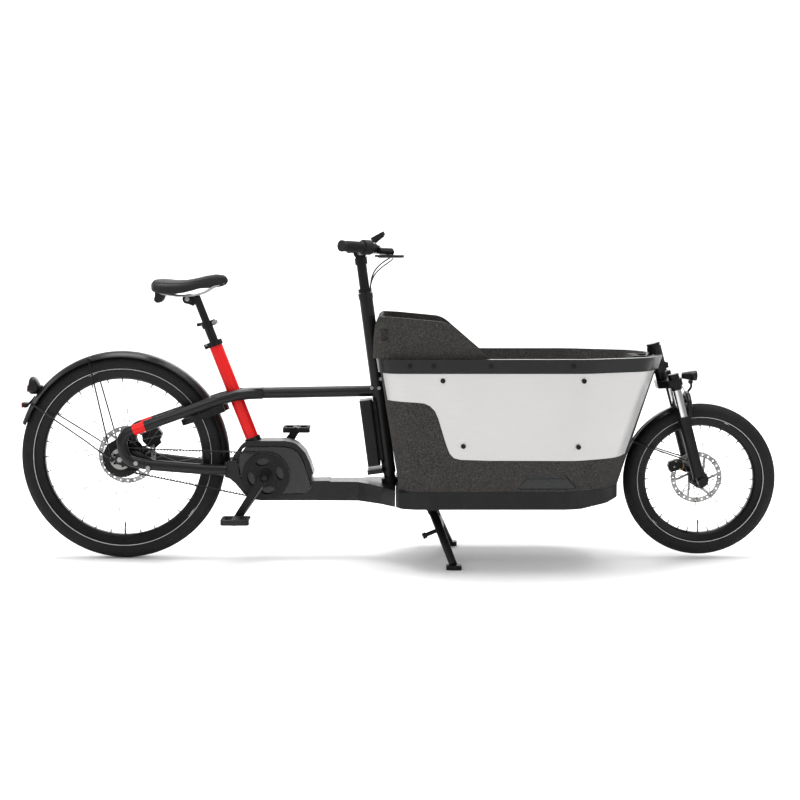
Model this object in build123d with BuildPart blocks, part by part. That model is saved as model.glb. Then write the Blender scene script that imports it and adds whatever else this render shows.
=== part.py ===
from build123d import *
import os
import math

os.makedirs("parts", exist_ok=True)

# Front-loader cargo bicycle. Millimetres. +X forward, +Y to the rider's left, +Z up.
# The origin is on the ground under the middle of the bicycle, which stands on its kickstand.

# ---------------------------------------------------------------- driving dimensions
REAR_AXLE = (-958.0, 355.0)      # X, Z of the rear axle, tyre 62-584
FRONT_AXLE = (1048.0, 277.0)     # X, Z of the front axle, tyre 62-406, held 12 mm off the ground
R_REAR, R_FRONT = 355.0, 265.0   # tyre outer radii
TYRE_R = 31.0                    # tyre section radius
REAR_RIM_R, FRONT_RIM_R = 273.0, 188.0   # inner radii of the rims
BB = (-460.0, 295.0)             # X, Z of the crank axis
CRANK_L = 170.0
CRANK_A = -124.0                 # angle of the right crank, from +X
Q_ARM = 76.0                     # inner face of the crank arms
BELT_Y0, BELT_Y1 = -50.0, -60.0  # belt line
PULLEY_R, SPROCKET_R = 80.5, 38.5  # pitch radii, 46 and 22 teeth at 11 mm
CAST_W = 45.0                    # half width of the drive unit casting
SEAT_A = 21.0                    # seat tube lean
SEAT_P = (-506.5, 412.0)         # a point on the seat tube axis
STEER_A = 7.48                   # handlebar column lean
STEER_P = (-30.8, 282.0)         # a point on the column axis
HEAD_A = 15.0                    # fork steering axis lean
HEAD_P = (878.5, 755.0)          # a point on the fork steering axis
LEG_OFF, LEG_Y = 29.5, 70.0      # fork legs ahead of the steering axis, and half spacing
TRAY_Z0, TRAY_Z1 = 210.0, 270.5  # chassis tray under the box
TUB_Z0, TUB_Z1 = 271.0, 712.0    # foam tub, bottom and rim
TUB_WALL = 24.0
SPOKES_R, SPOKES_F = 32, 32

# plan outlines of the tub: corner points of the near half and their corner radii
TUB_BASE = [(2, 243), (575, 243), (700, 172), (752, 80)]
TUB_RIM = [(-66, 315), (620, 315), (835, 215), (888, 100)]
RAD_BASE = [60, 120, 70, 50]
RAD_RIM = [75, 160, 90, 60]


# ---------------------------------------------------------------- small helpers
def rod(p, q, r, mode=Mode.ADD):
    """A round bar from p to q."""
    a, b = Vector(*p), Vector(*q)
    with BuildSketch(Plane(origin=a, z_dir=b - a)) as disc:
        Circle(r)
    extrude(disc.sketch, amount=(b - a).length, mode=mode)


def bar_y(x, z, y0, y1, r, mode=Mode.ADD):
    """A round bar along Y."""
    rod((x, y0, z), (x, y1, z), r, mode)


def pipe(points, radii, r):
    """A round tube along straight runs and tangent arcs."""
    with BuildLine() as path:
        FilletPolyline(*points, radius=radii)
    line = path.line
    with BuildSketch(Plane(origin=line @ 0, z_dir=line % 0)) as disc:
        Circle(r)
    sweep(sections=disc.sketch, path=line)


def plate_y(points, y0, y1, mode=Mode.ADD):
    """A plate whose XZ outline is a polygon, between two Y values."""
    with BuildSketch(Plane.XZ.offset(-y1)) as face:
        with BuildLine():
            Polyline(*points, close=True)
        make_face()
    extrude(face.sketch, amount=y1 - y0, mode=mode)


def offset_points(points, d):
    """The corner points of a closed outline moved outwards by d."""
    out = []
    n = len(points)
    for i in range(n):
        a, b, c = points[i - 1], points[i], points[(i + 1) % n]
        v1 = Vector(b[0] - a[0], b[1] - a[1]).normalized()
        v2 = Vector(c[0] - b[0], c[1] - b[1]).normalized()
        n1, n2 = Vector(v1.Y, -v1.X), Vector(v2.Y, -v2.X)
        m = n1 + n2
        k = d / (1 + n1.X * n2.X + n1.Y * n2.Y)
        out.append((b[0] + m.X * k, b[1] + m.Y * k))
    return out


def tub_section(z, d):
    """The tub's plan outline at height z, grown outwards by d."""
    t = (z - TUB_Z0) / (TUB_Z1 - TUB_Z0)
    near = [
        (a[0] + (b[0] - a[0]) * t, -(a[1] + (b[1] - a[1]) * t))
        for a, b in zip(TUB_BASE, TUB_RIM)
    ]
    far = [(x, -y) for x, y in reversed(near)]
    radii = [max(6, a + (b - a) * t + d) for a, b in zip(RAD_BASE, RAD_RIM)]
    with BuildSketch(Plane.XY.offset(z)) as plan:
        with BuildLine():
            FilletPolyline(*offset_points(near + far, d), radius=radii + radii[::-1], close=True)
        make_face()
    return plan.sketch


def tub_loft(z0, z1, d, mode=Mode.ADD):
    """The solid between the tub's outlines at two heights, grown outwards by d."""
    loft(sections=[tub_section(z0, d), tub_section(z1, d)], ruled=True, mode=mode)


def on_line(p, lean, z):
    """X of a leaning axis at height z."""
    return p[0] - math.tan(math.radians(lean)) * (z - p[1])


def lean_plane(p, lean, z):
    """A plane across a leaning axis at height z, local X pointing forward."""
    a = math.radians(lean)
    return Plane(
        origin=(on_line(p, lean, z), 0, z),
        x_dir=(math.cos(a), 0, math.sin(a)),
        z_dir=(-math.sin(a), 0, math.cos(a)),
    )


def half_width(z):
    return 243 + (z - TUB_Z0) * (315 - 243) / (TUB_Z1 - TUB_Z0)


def column_cut(z0, z1, r):
    """Clears a leaning round space round the handlebar column."""
    with BuildSketch(lean_plane(STEER_P, STEER_A, z0)) as disc:
        Circle(r)
    extrude(disc.sketch, amount=(z1 - z0) / math.cos(math.radians(STEER_A)), mode=Mode.SUBTRACT)


# ================================================================ frame body
# Drive unit casting: a hoop around the drive unit, running forward into a low beam that flares under the box.
HOOP = [(-562, 377), (-546, 400), (-527, 413), (-500, 416), (-389, 416), (-365, 411), (-349, 402), (-324, 376),
        (-307, 340), (-293, 294), (-284, 281), (-262, 277), (-238, 277), (-238, 208), (-480, 208), (-509, 213), (-536, 231),
        (-566, 268), (-592, 290), (-598, 300), (-598, 341), (-577, 349), (-571, 366)]
WINDOW = [(-552, 370), (-540, 388), (-524, 397), (-393, 397), (-366, 391), (-345, 378), (-330, 350), (-317, 312),
          (-304, 264), (-304, 249), (-324, 231), (-430, 228), (-500, 235), (-530, 258), (-548, 290), (-555, 330)]
with BuildPart() as main_frame:
    plate_y(HOOP, -CAST_W, CAST_W)
    with BuildSketch(Plane.XY.offset(208)):
        with BuildLine():
            Polyline((-300, -45), (-140, -50), (-60, -118), (-12, -178), (-12, 178), (-60, 118), (-140, 50), (-300, 45),
                     close=True)
        make_face()
    extrude(amount=66)
    plate_y([(-300, 300), (-300, 276), (-238, 277), (-100, 272), (-11, 262), (-11, 300)], -200, 200, Mode.SUBTRACT)
    plate_y([(-600, 292), (-600, 344), (-560, 352), (-540, 300), (-560, 280)], -60, -30)
    plate_y([(-600, 292), (-600, 344), (-560, 352), (-540, 300), (-560, 280)], 30, 60)
    plate_y(WINDOW, -80, 80, Mode.SUBTRACT)
    bar_y(REAR_AXLE[0], REAR_AXLE[1], -39.5, 39.5, 374, Mode.SUBTRACT)
    # socket for the seat tube and for the column foot
    with BuildSketch(lean_plane(SEAT_P, SEAT_A, 424)):
        Circle(28)
    extrude(amount=-24)
    plate_y(WINDOW, -80, 80, Mode.SUBTRACT)
    with BuildSketch(lean_plane(SEAT_P, SEAT_A, 404)):
        Circle(23.4)
    extrude(amount=60, mode=Mode.SUBTRACT)
    with BuildSketch(lean_plane(STEER_P, STEER_A, 262)):
        Circle(30)
    extrude(amount=22)
    with BuildSketch(lean_plane(STEER_P, STEER_A, 250)):
        Circle(20.2)
    extrude(amount=60, mode=Mode.SUBTRACT)
main_frame.part.label = "main_frame"
export_step(main_frame.part, "parts/main_frame.step")

# Drive unit inside the hoop, with a through bore for the crank spindle.
WIN_IN = [
    (-549, 368), (-537, 385), (-523, 394), (-394, 394), (-368, 388), (-348, 376), (-333, 348), (-320, 311),
    (-307, 264), (-307, 251), (-325, 234), (-430, 231), (-499, 238), (-528, 260), (-545, 291), (-552, 330)]
with BuildPart() as motor_unit:
    plate_y(WIN_IN, -40, 40)
    bar_y(BB[0], BB[1], -47, 47, 34)
    bar_y(BB[0], BB[1], -60, 60, 11.05, Mode.SUBTRACT)
motor_unit.part.label = "motor_unit"
export_step(motor_unit.part, "parts/motor_unit.step")

with BuildPart() as motor_covers:
    for s in (-1, 1):
        y0, y1 = sorted((s * 40.1, s * 46.5))
        plate_y(WIN_IN, y0, y1)
        bar_y(BB[0], BB[1], -60, 60, 34.2, Mode.SUBTRACT)
motor_covers.part.label = "motor_covers"
export_step(motor_covers.part, "parts/motor_covers.step")

# Top tube from the column to the seat tube, where it divides and passes on both sides.
STAY_C = (-625.0, 58.0, 557.0)
LOOP_1 = (-953.0, 92.0, 442.0)
STAY_S = tuple(a + 0.25 * (b - a) for a, b in zip(STAY_C, LOOP_1))
with BuildPart() as top_tube:
    rod((-78, 0, 586), (-500, 0, 578), 19.5)
    for s in (-1, 1):
        pipe([(-490, s * 8, 578.5), (-560, s * 43, 574), (STAY_C[0], s * STAY_C[1], STAY_C[2]),
              (STAY_S[0], s * STAY_S[1], STAY_S[2])], [55, 60], 19.0)
    plate_y([(-470, 597), (-470, 560), (-545, 557), (-545, 593)], -26, 26)
    with BuildSketch(lean_plane(SEAT_P, SEAT_A, 480)):
        Circle(23.2)
    extrude(amount=220, mode=Mode.SUBTRACT)
    with BuildSketch(lean_plane(STEER_P, STEER_A, 500)):
        Circle(23.6)
    extrude(amount=200, mode=Mode.SUBTRACT)
top_tube.part.label = "top_tube"
export_step(top_tube.part, "parts/top_tube.step")

# Rear stays: each runs back, loops round behind the axle plate and returns as the chain stay.
with BuildPart() as rear_stays:
    for s in (-1, 1):
        pipe([(STAY_S[0], s * STAY_S[1], STAY_S[2]), (LOOP_1[0], s * LOOP_1[1], LOOP_1[2]), (-934, s * 92, 355),
              (-852, s * 86, 338), (-674, s * 63, 320), (-596, s * 53, 315)], [42, 50, 120, 200], 18.5)
        y0, y1 = sorted((s * 66.0, s * 74.0))
        plate_y([(-972, 340), (-978, 356), (-970, 374), (-945, 386), (-900, 384), (-846, 356), (-842, 332), (-880, 322),
                 (-935, 330)], y0, y1)
        plate_y([(-916, 345), (-905, 366), (-852, 352), (-848, 334), (-880, 332)], *sorted((s * 73.0, s * 86.0)))
        bar_y(REAR_AXLE[0], REAR_AXLE[1], *sorted((s * 60.0, s * 80.0)), 6.02, Mode.SUBTRACT)
rear_stays.part.label = "rear_stays"
export_step(rear_stays.part, "parts/rear_stays.step")

# Red seat tube, bored for the post sleeve.
with BuildPart() as seat_tube:
    with BuildSketch(lean_plane(SEAT_P, SEAT_A, 405)):
        Circle(23.0)
    extrude(amount=(742 - 405) / math.cos(math.radians(SEAT_A)))
    with BuildSketch(lean_plane(SEAT_P, SEAT_A, 425)):
        Circle(16.05)
    extrude(amount=400, mode=Mode.SUBTRACT)
seat_tube.part.label = "seat_tube"
export_step(seat_tube.part, "parts/seat_tube.step")

# Post sleeve with the clamp collar at the frame and the quick-release collar at its top.
QR_X, QR_Z = on_line(SEAT_P, SEAT_A, 818) + 27, 824
with BuildPart() as post_sleeve:
    base = lean_plane(SEAT_P, SEAT_A, 600)
    with BuildSketch(base):
        Circle(16.0)
    extrude(amount=(824 - 600) / math.cos(math.radians(SEAT_A)))
    with BuildSketch(lean_plane(SEAT_P, SEAT_A, 742.2)):
        Circle(27.5)
        with Locations((-27, 0)):
            Rectangle(20, 22)
    extrude(amount=18)
    with BuildSketch(lean_plane(SEAT_P, SEAT_A, 806)):
        Circle(20.5)
        with Locations((20, 0)):
            Rectangle(20, 24)
    extrude(amount=20)
    with BuildSketch(lean_plane(SEAT_P, SEAT_A, 590)):
        Circle(13.65)
    extrude(amount=300, mode=Mode.SUBTRACT)
    bar_y(QR_X, QR_Z, -40, 40, 3.2, Mode.SUBTRACT)
post_sleeve.part.label = "post_sleeve"
export_step(post_sleeve.part, "parts/post_sleeve.step")

# Steering column tube with bearing lands at both ends, a bottom cup, and the battery shoe behind its foot.
with BuildPart() as steering_tube:
    with BuildSketch(lean_plane(STEER_P, STEER_A, 252)):
        Circle(20.0)
    extrude(amount=60)
    with BuildSketch(lean_plane(STEER_P, STEER_A, 300)):
        Circle(23.5)
    extrude(amount=(925 - 300) / math.cos(math.radians(STEER_A)))
    with BuildSketch(lean_plane(STEER_P, STEER_A, 905)):
        Circle(25.5)
    extrude(amount=20)
    with BuildSketch(lean_plane(STEER_P, STEER_A, 305)):
        Circle(17.3)
    extrude(amount=700, mode=Mode.SUBTRACT)
    with BuildSketch(lean_plane(STEER_P, STEER_A, 345)):
        Circle(19.5)
    extrude(amount=520, mode=Mode.SUBTRACT)
    with BuildSketch(lean_plane(STEER_P, STEER_A, 306)):
        with Locations((-48, 0)):
            Rectangle(52, 88)
    extrude(amount=16)
    with BuildSketch(lean_plane(STEER_P, STEER_A, 290)):
        Circle(17.3)
    extrude(amount=60, mode=Mode.SUBTRACT)
steering_tube.part.label = "steering_tube"
export_step(steering_tube.part, "parts/steering_tube.step")

# Battery slab standing behind the column, under the top tube.
with BuildPart() as battery:
    with BuildSketch(lean_plane(STEER_P, STEER_A, 334)):
        with Locations((-47.5, 0)):
            RectangleRounded(44, 90, 8)
    extrude(amount=230)
battery.part.label = "battery"
export_step(battery.part, "parts/battery.step")

# Head tube with its bracket and the front down tube that joins it to the tray.
with BuildPart() as front_frame:
    with BuildSketch(lean_plane(HEAD_P, HEAD_A, 652)):
        Circle(25.0)
    extrude(amount=92)
    with BuildSketch(lean_plane(HEAD_P, HEAD_A, 726)):
        Circle(22.0)
    extrude(amount=26)
    rod((718, 0, 246), (846, 0, 668), 20.0)
    plate_y([(815, 600), (836, 600), (880, 664), (892, 716), (868, 724), (834, 680)], -14, 14)
    plate_y([(905, 692), (930, 686), (933, 668), (912, 664)], -18, 18)
    with BuildSketch(lean_plane(HEAD_P, HEAD_A, 640)):
        Circle(15.06)
    extrude(amount=98, mode=Mode.SUBTRACT)
front_frame.part.label = "front_frame"
export_step(front_frame.part, "parts/front_frame.step")

# Chassis tray: a top plate with a skirt and cross members, open below, and the kickstand bracket under it.
TRAY = [(-10, -190), (14, -232), (60, -243), (575, -243), (702, -172), (752, -80), (752, 80), (702, 172), (575, 243),
        (60, 243), (14, 232), (-10, 190)]
with BuildPart() as base_tray:
    with BuildSketch(Plane.XY.offset(TRAY_Z0)):
        with BuildLine():
            FilletPolyline(*TRAY, radius=[30, 30, 40, 120, 70, 50, 50, 70, 120, 40, 30, 30], close=True)
        make_face()
    extrude(amount=TRAY_Z1 - TRAY_Z0)
    with BuildSketch(Plane.XY.offset(TRAY_Z0)):
        with BuildLine():
            FilletPolyline(*offset_points(TRAY, -6), radius=[24, 24, 34, 114, 64, 44, 44, 64, 114, 34, 24, 24], close=True)
        make_face()
    extrude(amount=TRAY_Z1 - TRAY_Z0 - 5, mode=Mode.SUBTRACT)
    with BuildSketch(Plane.XY.offset(TRAY_Z0 + 4)):
        for x in (20, 170, 330, 490, 640):
            with Locations((x, 0)):
                Rectangle(40, 2 * (238 if x < 600 else 196))
        with Locations((360, -60), (360, 60)):
            Rectangle(740, 30)
    extrude(amount=TRAY_Z1 - TRAY_Z0 - 8)
    plate_y([(610, 200), (610, 210), (752, 228), (800, 228), (800, 200)], -300, 300, Mode.SUBTRACT)
    for s in (-1, 1):
        plate_y([(88, 216), (144, 216), (136, 176), (126, 164), (106, 164), (96, 176)], *sorted((s * 44.0, s * 56.0)))
    bar_y(116, 178, -70, 70, 8.05, Mode.SUBTRACT)
    for x in (170, 330, 490):
        for y in (-190, 190):
            rod((x, y, 217), (x, y, 203), 8)
    column_cut(200, 300, 30.5)
    rod((714, 0, 233), (740, 0, 319), 20.3, Mode.SUBTRACT)
base_tray.part.label = "base_tray"
export_step(base_tray.part, "parts/base_tray.step")

# Foam tub: leaning walls on a rounded plan, with a channel up the middle of the front wall for the head tube.
CHANNEL = [(688, 262), (830, 722), (1000, 722), (1000, 262)]
CHANNEL_IN = [(664, 262), (806, 722), (1000, 722), (1000, 262)]
RECESS = [(394, 279), (432, 329), (551, 330), (594, 279)]
with BuildPart() as box_tub:
    tub_loft(TUB_Z0, TUB_Z1, 0)
    with BuildPart(mode=Mode.PRIVATE) as hollow:
        tub_loft(TUB_Z0 + TUB_WALL, TUB_Z1 + 20, -TUB_WALL)
        plate_y(CHANNEL_IN, -72, 72, Mode.SUBTRACT)
    add(hollow.part, mode=Mode.SUBTRACT)
    plate_y(CHANNEL, -50, 50, Mode.SUBTRACT)
    column_cut(262, 930, 26.0)
    plate_y(RECESS, -400, -(243 - 12), Mode.SUBTRACT)
    plate_y(RECESS, 243 - 12, 400, Mode.SUBTRACT)
    # Flat load pad on the floor, ahead of the bench.
    with BuildSketch(Plane.XY.offset(290)):
        with Locations((409, 0)):
            Rectangle(382, 360)
    extrude(amount=6.5)
box_tub.part.label = "box_tub"
export_step(box_tub.part, "parts/box_tub.step")

# Glossy inserts in the two low recesses.
with BuildPart() as step_inserts:
    for s in (-1, 1):
        plate_y([(398, 280.5), (434, 327.5), (549, 328.5), (590, 280.5)], *sorted((s * 231.2, s * 239.0)))
        plate_y([(425, 308), (428, 313), (556, 314), (560, 309)], *sorted((s * 238.8, s * 243.5)))
step_inserts.part.label = "step_inserts"
export_step(step_inserts.part, "parts/step_inserts.step")

# Foam backrest: a U-shaped upper wall that stands on the rear of the rim.
with BuildPart() as box_backrest:
    with BuildSketch(Plane.XY.offset(716.5)):
        with BuildLine():
            FilletPolyline((-84, -300), (297, -300), (297, 300), (-84, 300), radius=[60, 3, 3, 60], close=True)
        make_face()
        with BuildLine():
            FilletPolyline((-54, -271), (400, -271), (400, 271), (-54, 271), radius=[38, 3, 3, 38], close=True)
        make_face(mode=Mode.SUBTRACT)
    extrude(amount=140)
    with BuildPart(mode=Mode.PRIVATE) as profile:
        plate_y([(-84, 716.5), (-82, 780), (-77, 826), (-70, 846), (-58, 854), (-4, 851), (102, 841), (140, 837), (158, 831),
                 (176, 820), (296, 716.5)], -310, 310)
    add(profile.part, mode=Mode.INTERSECT)
    plate_y([(-56, 777), (-58, 812), (-46, 816), (-34, 813), (-32, 780), (-44, 774)], -310, -288, Mode.SUBTRACT)
    column_cut(600, 930, 26.0)
box_backrest.part.label = "box_backrest"
export_step(box_backrest.part, "parts/box_backrest.step")

# Aluminium side panels, 2.8 mm proud of the tub.
PANEL = [(-52, 669), (-36, 580), (60, 573.5), (84, 571), (103, 562), (119, 545), (130, 520), (145, 470), (158, 428),
         (168, 403), (182, 387), (205, 381), (300, 378), (665, 377), (710, 378), (767, 383), (862, 669)]
with BuildPart() as side_panels:
    tub_loft(360, 672, 3.2)
    with BuildPart(mode=Mode.PRIVATE) as inner_skin:
        tub_loft(340, 690, 0.4)
    add(inner_skin.part, mode=Mode.SUBTRACT)
    with BuildPart(mode=Mode.PRIVATE) as region:
        plate_y(PANEL, -400, -60)
        plate_y(PANEL, 60, 400)
    add(region.part, mode=Mode.INTERSECT)
side_panels.part.label = "side_panels"
export_step(side_panels.part, "parts/side_panels.step")

# Rim rail: a band round the tub's top edge, and the plate that closes its front.
with BuildPart() as rim_rail:
    tub_loft(671, 716, 7.0)
    with BuildPart(mode=Mode.PRIVATE) as rail_hole:
        tub_loft(668, 712.2, 0.3)
        tub_loft(700, 720, -20)
    add(rail_hole.part, mode=Mode.SUBTRACT)
    plate_y([(790, 640), (790, 760), (1000, 760), (1000, 640)], -52, 52, Mode.SUBTRACT)
    column_cut(600, 930, 26.0)
rim_rail.part.label = "rim_rail"
export_step(rim_rail.part, "parts/rim_rail.step")

# Screws of the rail, the panels and the tray edge: round heads.
with BuildPart() as box_screws:
    for x, z, off, r in ((37, 694, 7.0, 7), (115, 694, 7.0, 7), (567, 694, 7.0, 7), (300, 694, 7.0, 7),
                         (144, 646, 3.2, 8), (603, 645, 3.2, 8), (213, 427, 3.2, 8), (592, 424, 3.2, 8)):
        y = half_width(z) + off
        for s in (-1, 1):
            bar_y(x, z, *sorted((s * (y - 1.0), s * (y + 4.0))), r)
box_screws.part.label = "box_screws"
export_step(box_screws.part, "parts/box_screws.step")

# Bench moulded in foam, across the rear of the tub.
with BuildPart() as bench_seat:
    with BuildSketch(Plane.XZ.offset(-232)) as side:
        with BuildLine():
            Polyline((24, 296), (-14, 505), (196, 505), (214, 490), (214, 470), (196, 458), (150, 455), (150, 296), close=True)
        make_face()
    extrude(side.sketch, amount=464)
    fillet(bench_seat.edges().filter_by(Axis.Y).group_by(Axis.Z)[-1], 8)
    with BuildPart(mode=Mode.PRIVATE) as room:
        tub_loft(TUB_Z0 + TUB_WALL + 0.3, 600, -TUB_WALL - 0.4)
    add(room.part, mode=Mode.INTERSECT)
bench_seat.part.label = "bench_seat"
export_step(bench_seat.part, "parts/bench_seat.step")

# Rear mudguard: a rolled shell from behind the seat tube to the rear, with its lower stays.
def guard(axle, r_top, half, lip, a0, a1, t):
    """A rolled mudguard shell about an axle, its crown at r_top, from angle a0 to a1."""
    with BuildSketch(Plane.XY) as section:
        with BuildLine():
            outer = ThreePointArc((r_top - lip, -half), (r_top, 0), (r_top - lip, half))
            inner = ThreePointArc((r_top - lip, half - t), (r_top - t, 0), (r_top - lip, -half + t))
            Line(outer @ 1, inner @ 0)
            Line(inner @ 1, outer @ 0)
        make_face()
    placed = Plane(
        origin=(axle[0], 0, axle[1]),
        x_dir=(math.cos(math.radians(a0)), 0, math.sin(math.radians(a0))),
        z_dir=(math.sin(math.radians(a0)), 0, -math.cos(math.radians(a0))),
    )
    revolve(placed * section.sketch, axis=Axis((axle[0], 0, axle[1]), (0, -1, 0)), revolution_arc=a1 - a0)


with BuildPart() as rear_fender:
    guard(REAR_AXLE, 370, 37, 20, -4, 161, 2.4)
    for s in (-1, 1):
        pipe([(-984, s * 79, 352), (-1080, s * 62, 420), (-1262, s * 40, 541)], [400], 2.6)
        rod((-1262, s * 41, 541), (-1262, s * 35.0, 541), 5)
        bar_y(-984, 352, *sorted((s * 74.2, s * 81)), 6)
rear_fender.part.label = "rear_fender"
export_step(rear_fender.part, "parts/rear_fender.step")

# Rear lamp on its bracket, with the reflector below it.
with BuildPart() as rear_lamp:
    plate_y([(-1288, 577), (-1287, 606), (-1277, 636), (-1257, 636), (-1238, 606), (-1243, 580), (-1262, 572)], -26, 26)
    plate_y([(-1309, 524), (-1307, 549), (-1286, 548), (-1288, 524)], -22, 22)
    plate_y([(-1292, 524), (-1288, 548), (-1262, 578), (-1243, 582), (-1243, 572), (-1270, 540), (-1280, 524)], -6, 6)
    bar_y(REAR_AXLE[0], REAR_AXLE[1], -40, 40, 370.3, Mode.SUBTRACT)
rear_lamp.part.label = "rear_lamp"
export_step(rear_lamp.part, "parts/rear_lamp.step")

# Ring lock: a horseshoe round the tyre, hung under the stays.
RING = Plane(origin=(-672, 0, 505), x_dir=(math.cos(math.radians(19.5)), 0, math.sin(math.radians(19.5))),
             z_dir=(-math.sin(math.radians(19.5)), 0, math.cos(math.radians(19.5))))
with BuildPart() as ring_lock:
    with BuildSketch(RING.offset(-11)):
        with Locations((-2, 0)):
            SlotCenterToCenter(44, 132)
        with Locations((-2, 0)):
            SlotCenterToCenter(44, 88, mode=Mode.SUBTRACT)
    extrude(amount=22)
    with BuildSketch(RING.offset(-12)):
        with Locations((44, -52)):
            RectangleRounded(64, 26, 8)
    extrude(amount=25)
    # The shackle is drawn back, so the ring is open where the spokes pass.
    bar_y(REAR_AXLE[0], REAR_AXLE[1], -28, 28, 290, Mode.SUBTRACT)
ring_lock.part.label = "ring_lock"
export_step(ring_lock.part, "parts/ring_lock.step")


def caliper(x, z, ang, y0, y1, size):
    """A brake calliper block at (x, z), turned by ang."""
    a = math.radians(ang)
    pts = [(-0.62, -0.5), (-0.72, 0.1), (-0.5, 0.5), (0.35, 0.55), (0.7, 0.3), (0.72, -0.25), (0.4, -0.5)]
    plate_y([(x + size * (u * math.cos(a) - v * math.sin(a)), z + size * (u * math.sin(a) + v * math.cos(a)))
             for u, v in pts], y0, y1)


with BuildPart() as rear_caliper:
    caliper(-868, 420, 35, 42, 72, 50)
    plate_y([(-884, 392), (-898, 384), (-860, 376), (-838, 396), (-850, 424)], 60, 74.5)
    bar_y(REAR_AXLE[0], REAR_AXLE[1], 54, 60, 104, Mode.SUBTRACT)
rear_caliper.part.label = "rear_caliper"
export_step(rear_caliper.part, "parts/rear_caliper.step")

# Toothed belt round the pulley and the sprocket, a plain band here.
with BuildPart() as belt:
    with BuildSketch(Plane.XZ.offset(-BELT_Y0)) as band:
        for grow, mode in ((1.5, Mode.ADD), (-1.2, Mode.SUBTRACT)):
            with BuildSketch(mode=mode):
                with Locations(BB):
                    Circle(PULLEY_R + grow)
                with Locations(REAR_AXLE):
                    Circle(SPROCKET_R + grow)
                make_hull()
    extrude(band.sketch, amount=BELT_Y0 - BELT_Y1)
belt.part.label = "belt"
export_step(belt.part, "parts/belt.step")

# Frame hardware: rear axle with nuts, loop bolts, top tube bolts, clamp bolt.
with BuildPart() as frame_hardware:
    bar_y(REAR_AXLE[0], REAR_AXLE[1], -78, 78, 5.97)
    for s in (-1, 1):
        with BuildSketch(Plane.XZ.offset(-s * 74.1)) as nut:
            with Locations(REAR_AXLE):
                RegularPolygon(9.5, 6)
        extrude(nut.sketch, amount=-s * 9)
        for x, z in ((-897, 347), (-856, 331)):
            bar_y(x, z, *sorted((s * 106.0, s * 112.5)), 7.5)
        for x, z, y in ((-68, 597, 22.8), (-62, 629, 22.8), (-93, 597, 14.5)):
            bar_y(x, z, *sorted((s * y, s * (y + 5))), 6)
    bar_y(-664, 745, -15, 15, 4)
    bar_y(QR_X, QR_Z, -15, 12.5, 3.0)
    bar_y(QR_X, QR_Z, -19, -12.3, 8)
frame_hardware.part.label = "frame_hardware"
export_step(frame_hardware.part, "parts/frame_hardware.step")


# ================================================================ wheels
def tyre(axle, r_out, cut_r):
    c = r_out - TYRE_R
    with BuildSketch(Plane.XY) as section:
        with Locations((c, 0)):
            Circle(TYRE_R)
            Circle(TYRE_R - 5.0, mode=Mode.SUBTRACT)
        with Locations((cut_r - 40, 0)):
            Rectangle(80, 80, mode=Mode.SUBTRACT)
    revolve(Plane(origin=(axle[0], 0, axle[1]), x_dir=(1, 0, 0), z_dir=(0, 0, 1)) * section.sketch,
            axis=Axis((axle[0], 0, axle[1]), (0, 1, 0)))


def rim(axle, r_in, r_edge):
    with BuildSketch(Plane.XY) as section:
        with BuildLine():
            Polyline((r_in, -9), (r_in + 6, -17), (r_edge, -22.5), (r_edge, -17), (r_edge - 12, -13), (r_edge - 18, -8),
                     (r_edge - 18, 8), (r_edge - 12, 13), (r_edge, 17), (r_edge, 22.5), (r_in + 6, 17), (r_in, 9), close=True)
        make_face()
    revolve(Plane(origin=(axle[0], 0, axle[1]), x_dir=(1, 0, 0), z_dir=(0, 0, 1)) * section.sketch,
            axis=Axis((axle[0], 0, axle[1]), (0, 1, 0)))


def spokes(axle, n, r_hub, r_rim, flange_y, swing, r=0.95):
    """Crossed spokes from the hub flanges to the rim, alternating sides."""
    for i in range(n):
        a = 2 * math.pi * i / n
        s = 1 if i % 2 else -1
        b = a + math.radians(swing) * (1 if (i // 2) % 2 else -1)
        w = 2.0 if (i // 2) % 2 else -2.0
        rod((axle[0] + r_hub * math.cos(b), s * (flange_y + w), axle[1] + r_hub * math.sin(b)),
            (axle[0] + r_rim * math.cos(a), s * (5.0 + w / 2), axle[1] + r_rim * math.sin(a)), r)


with BuildPart() as rear_tyre:
    tyre(REAR_AXLE, R_REAR, 304.0)
rear_tyre.part.label = "rear_tyre"
export_step(rear_tyre.part, "parts/rear_tyre.step")

with BuildPart() as rear_rim:
    rim(REAR_AXLE, REAR_RIM_R, 303.9)
rear_rim.part.label = "rear_rim"
export_step(rear_rim.part, "parts/rear_rim.step")

with BuildPart() as rear_spokes:
    spokes(REAR_AXLE, SPOKES_R, 62, REAR_RIM_R + 1, 36, 38)
rear_spokes.part.label = "rear_spokes"
export_step(rear_spokes.part, "parts/rear_spokes.step")

# Geared rear hub: a barrel with two flanges, running on the fixed axle.
with BuildPart() as rear_hub:
    bar_y(REAR_AXLE[0], REAR_AXLE[1], -34, 34, 56)
    chamfer(rear_hub.edges().filter_by(GeomType.CIRCLE), 6)
    for y in (-37, 33):
        bar_y(REAR_AXLE[0], REAR_AXLE[1], y, y + 4, 67)
    bar_y(REAR_AXLE[0], REAR_AXLE[1], -44, 54.5, 26)
    bar_y(REAR_AXLE[0], REAR_AXLE[1], -47, 64, 15)
    bar_y(REAR_AXLE[0], REAR_AXLE[1], -80, 80, 6.02, Mode.SUBTRACT)
rear_hub.part.label = "rear_hub"
export_step(rear_hub.part, "parts/rear_hub.step")


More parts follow.
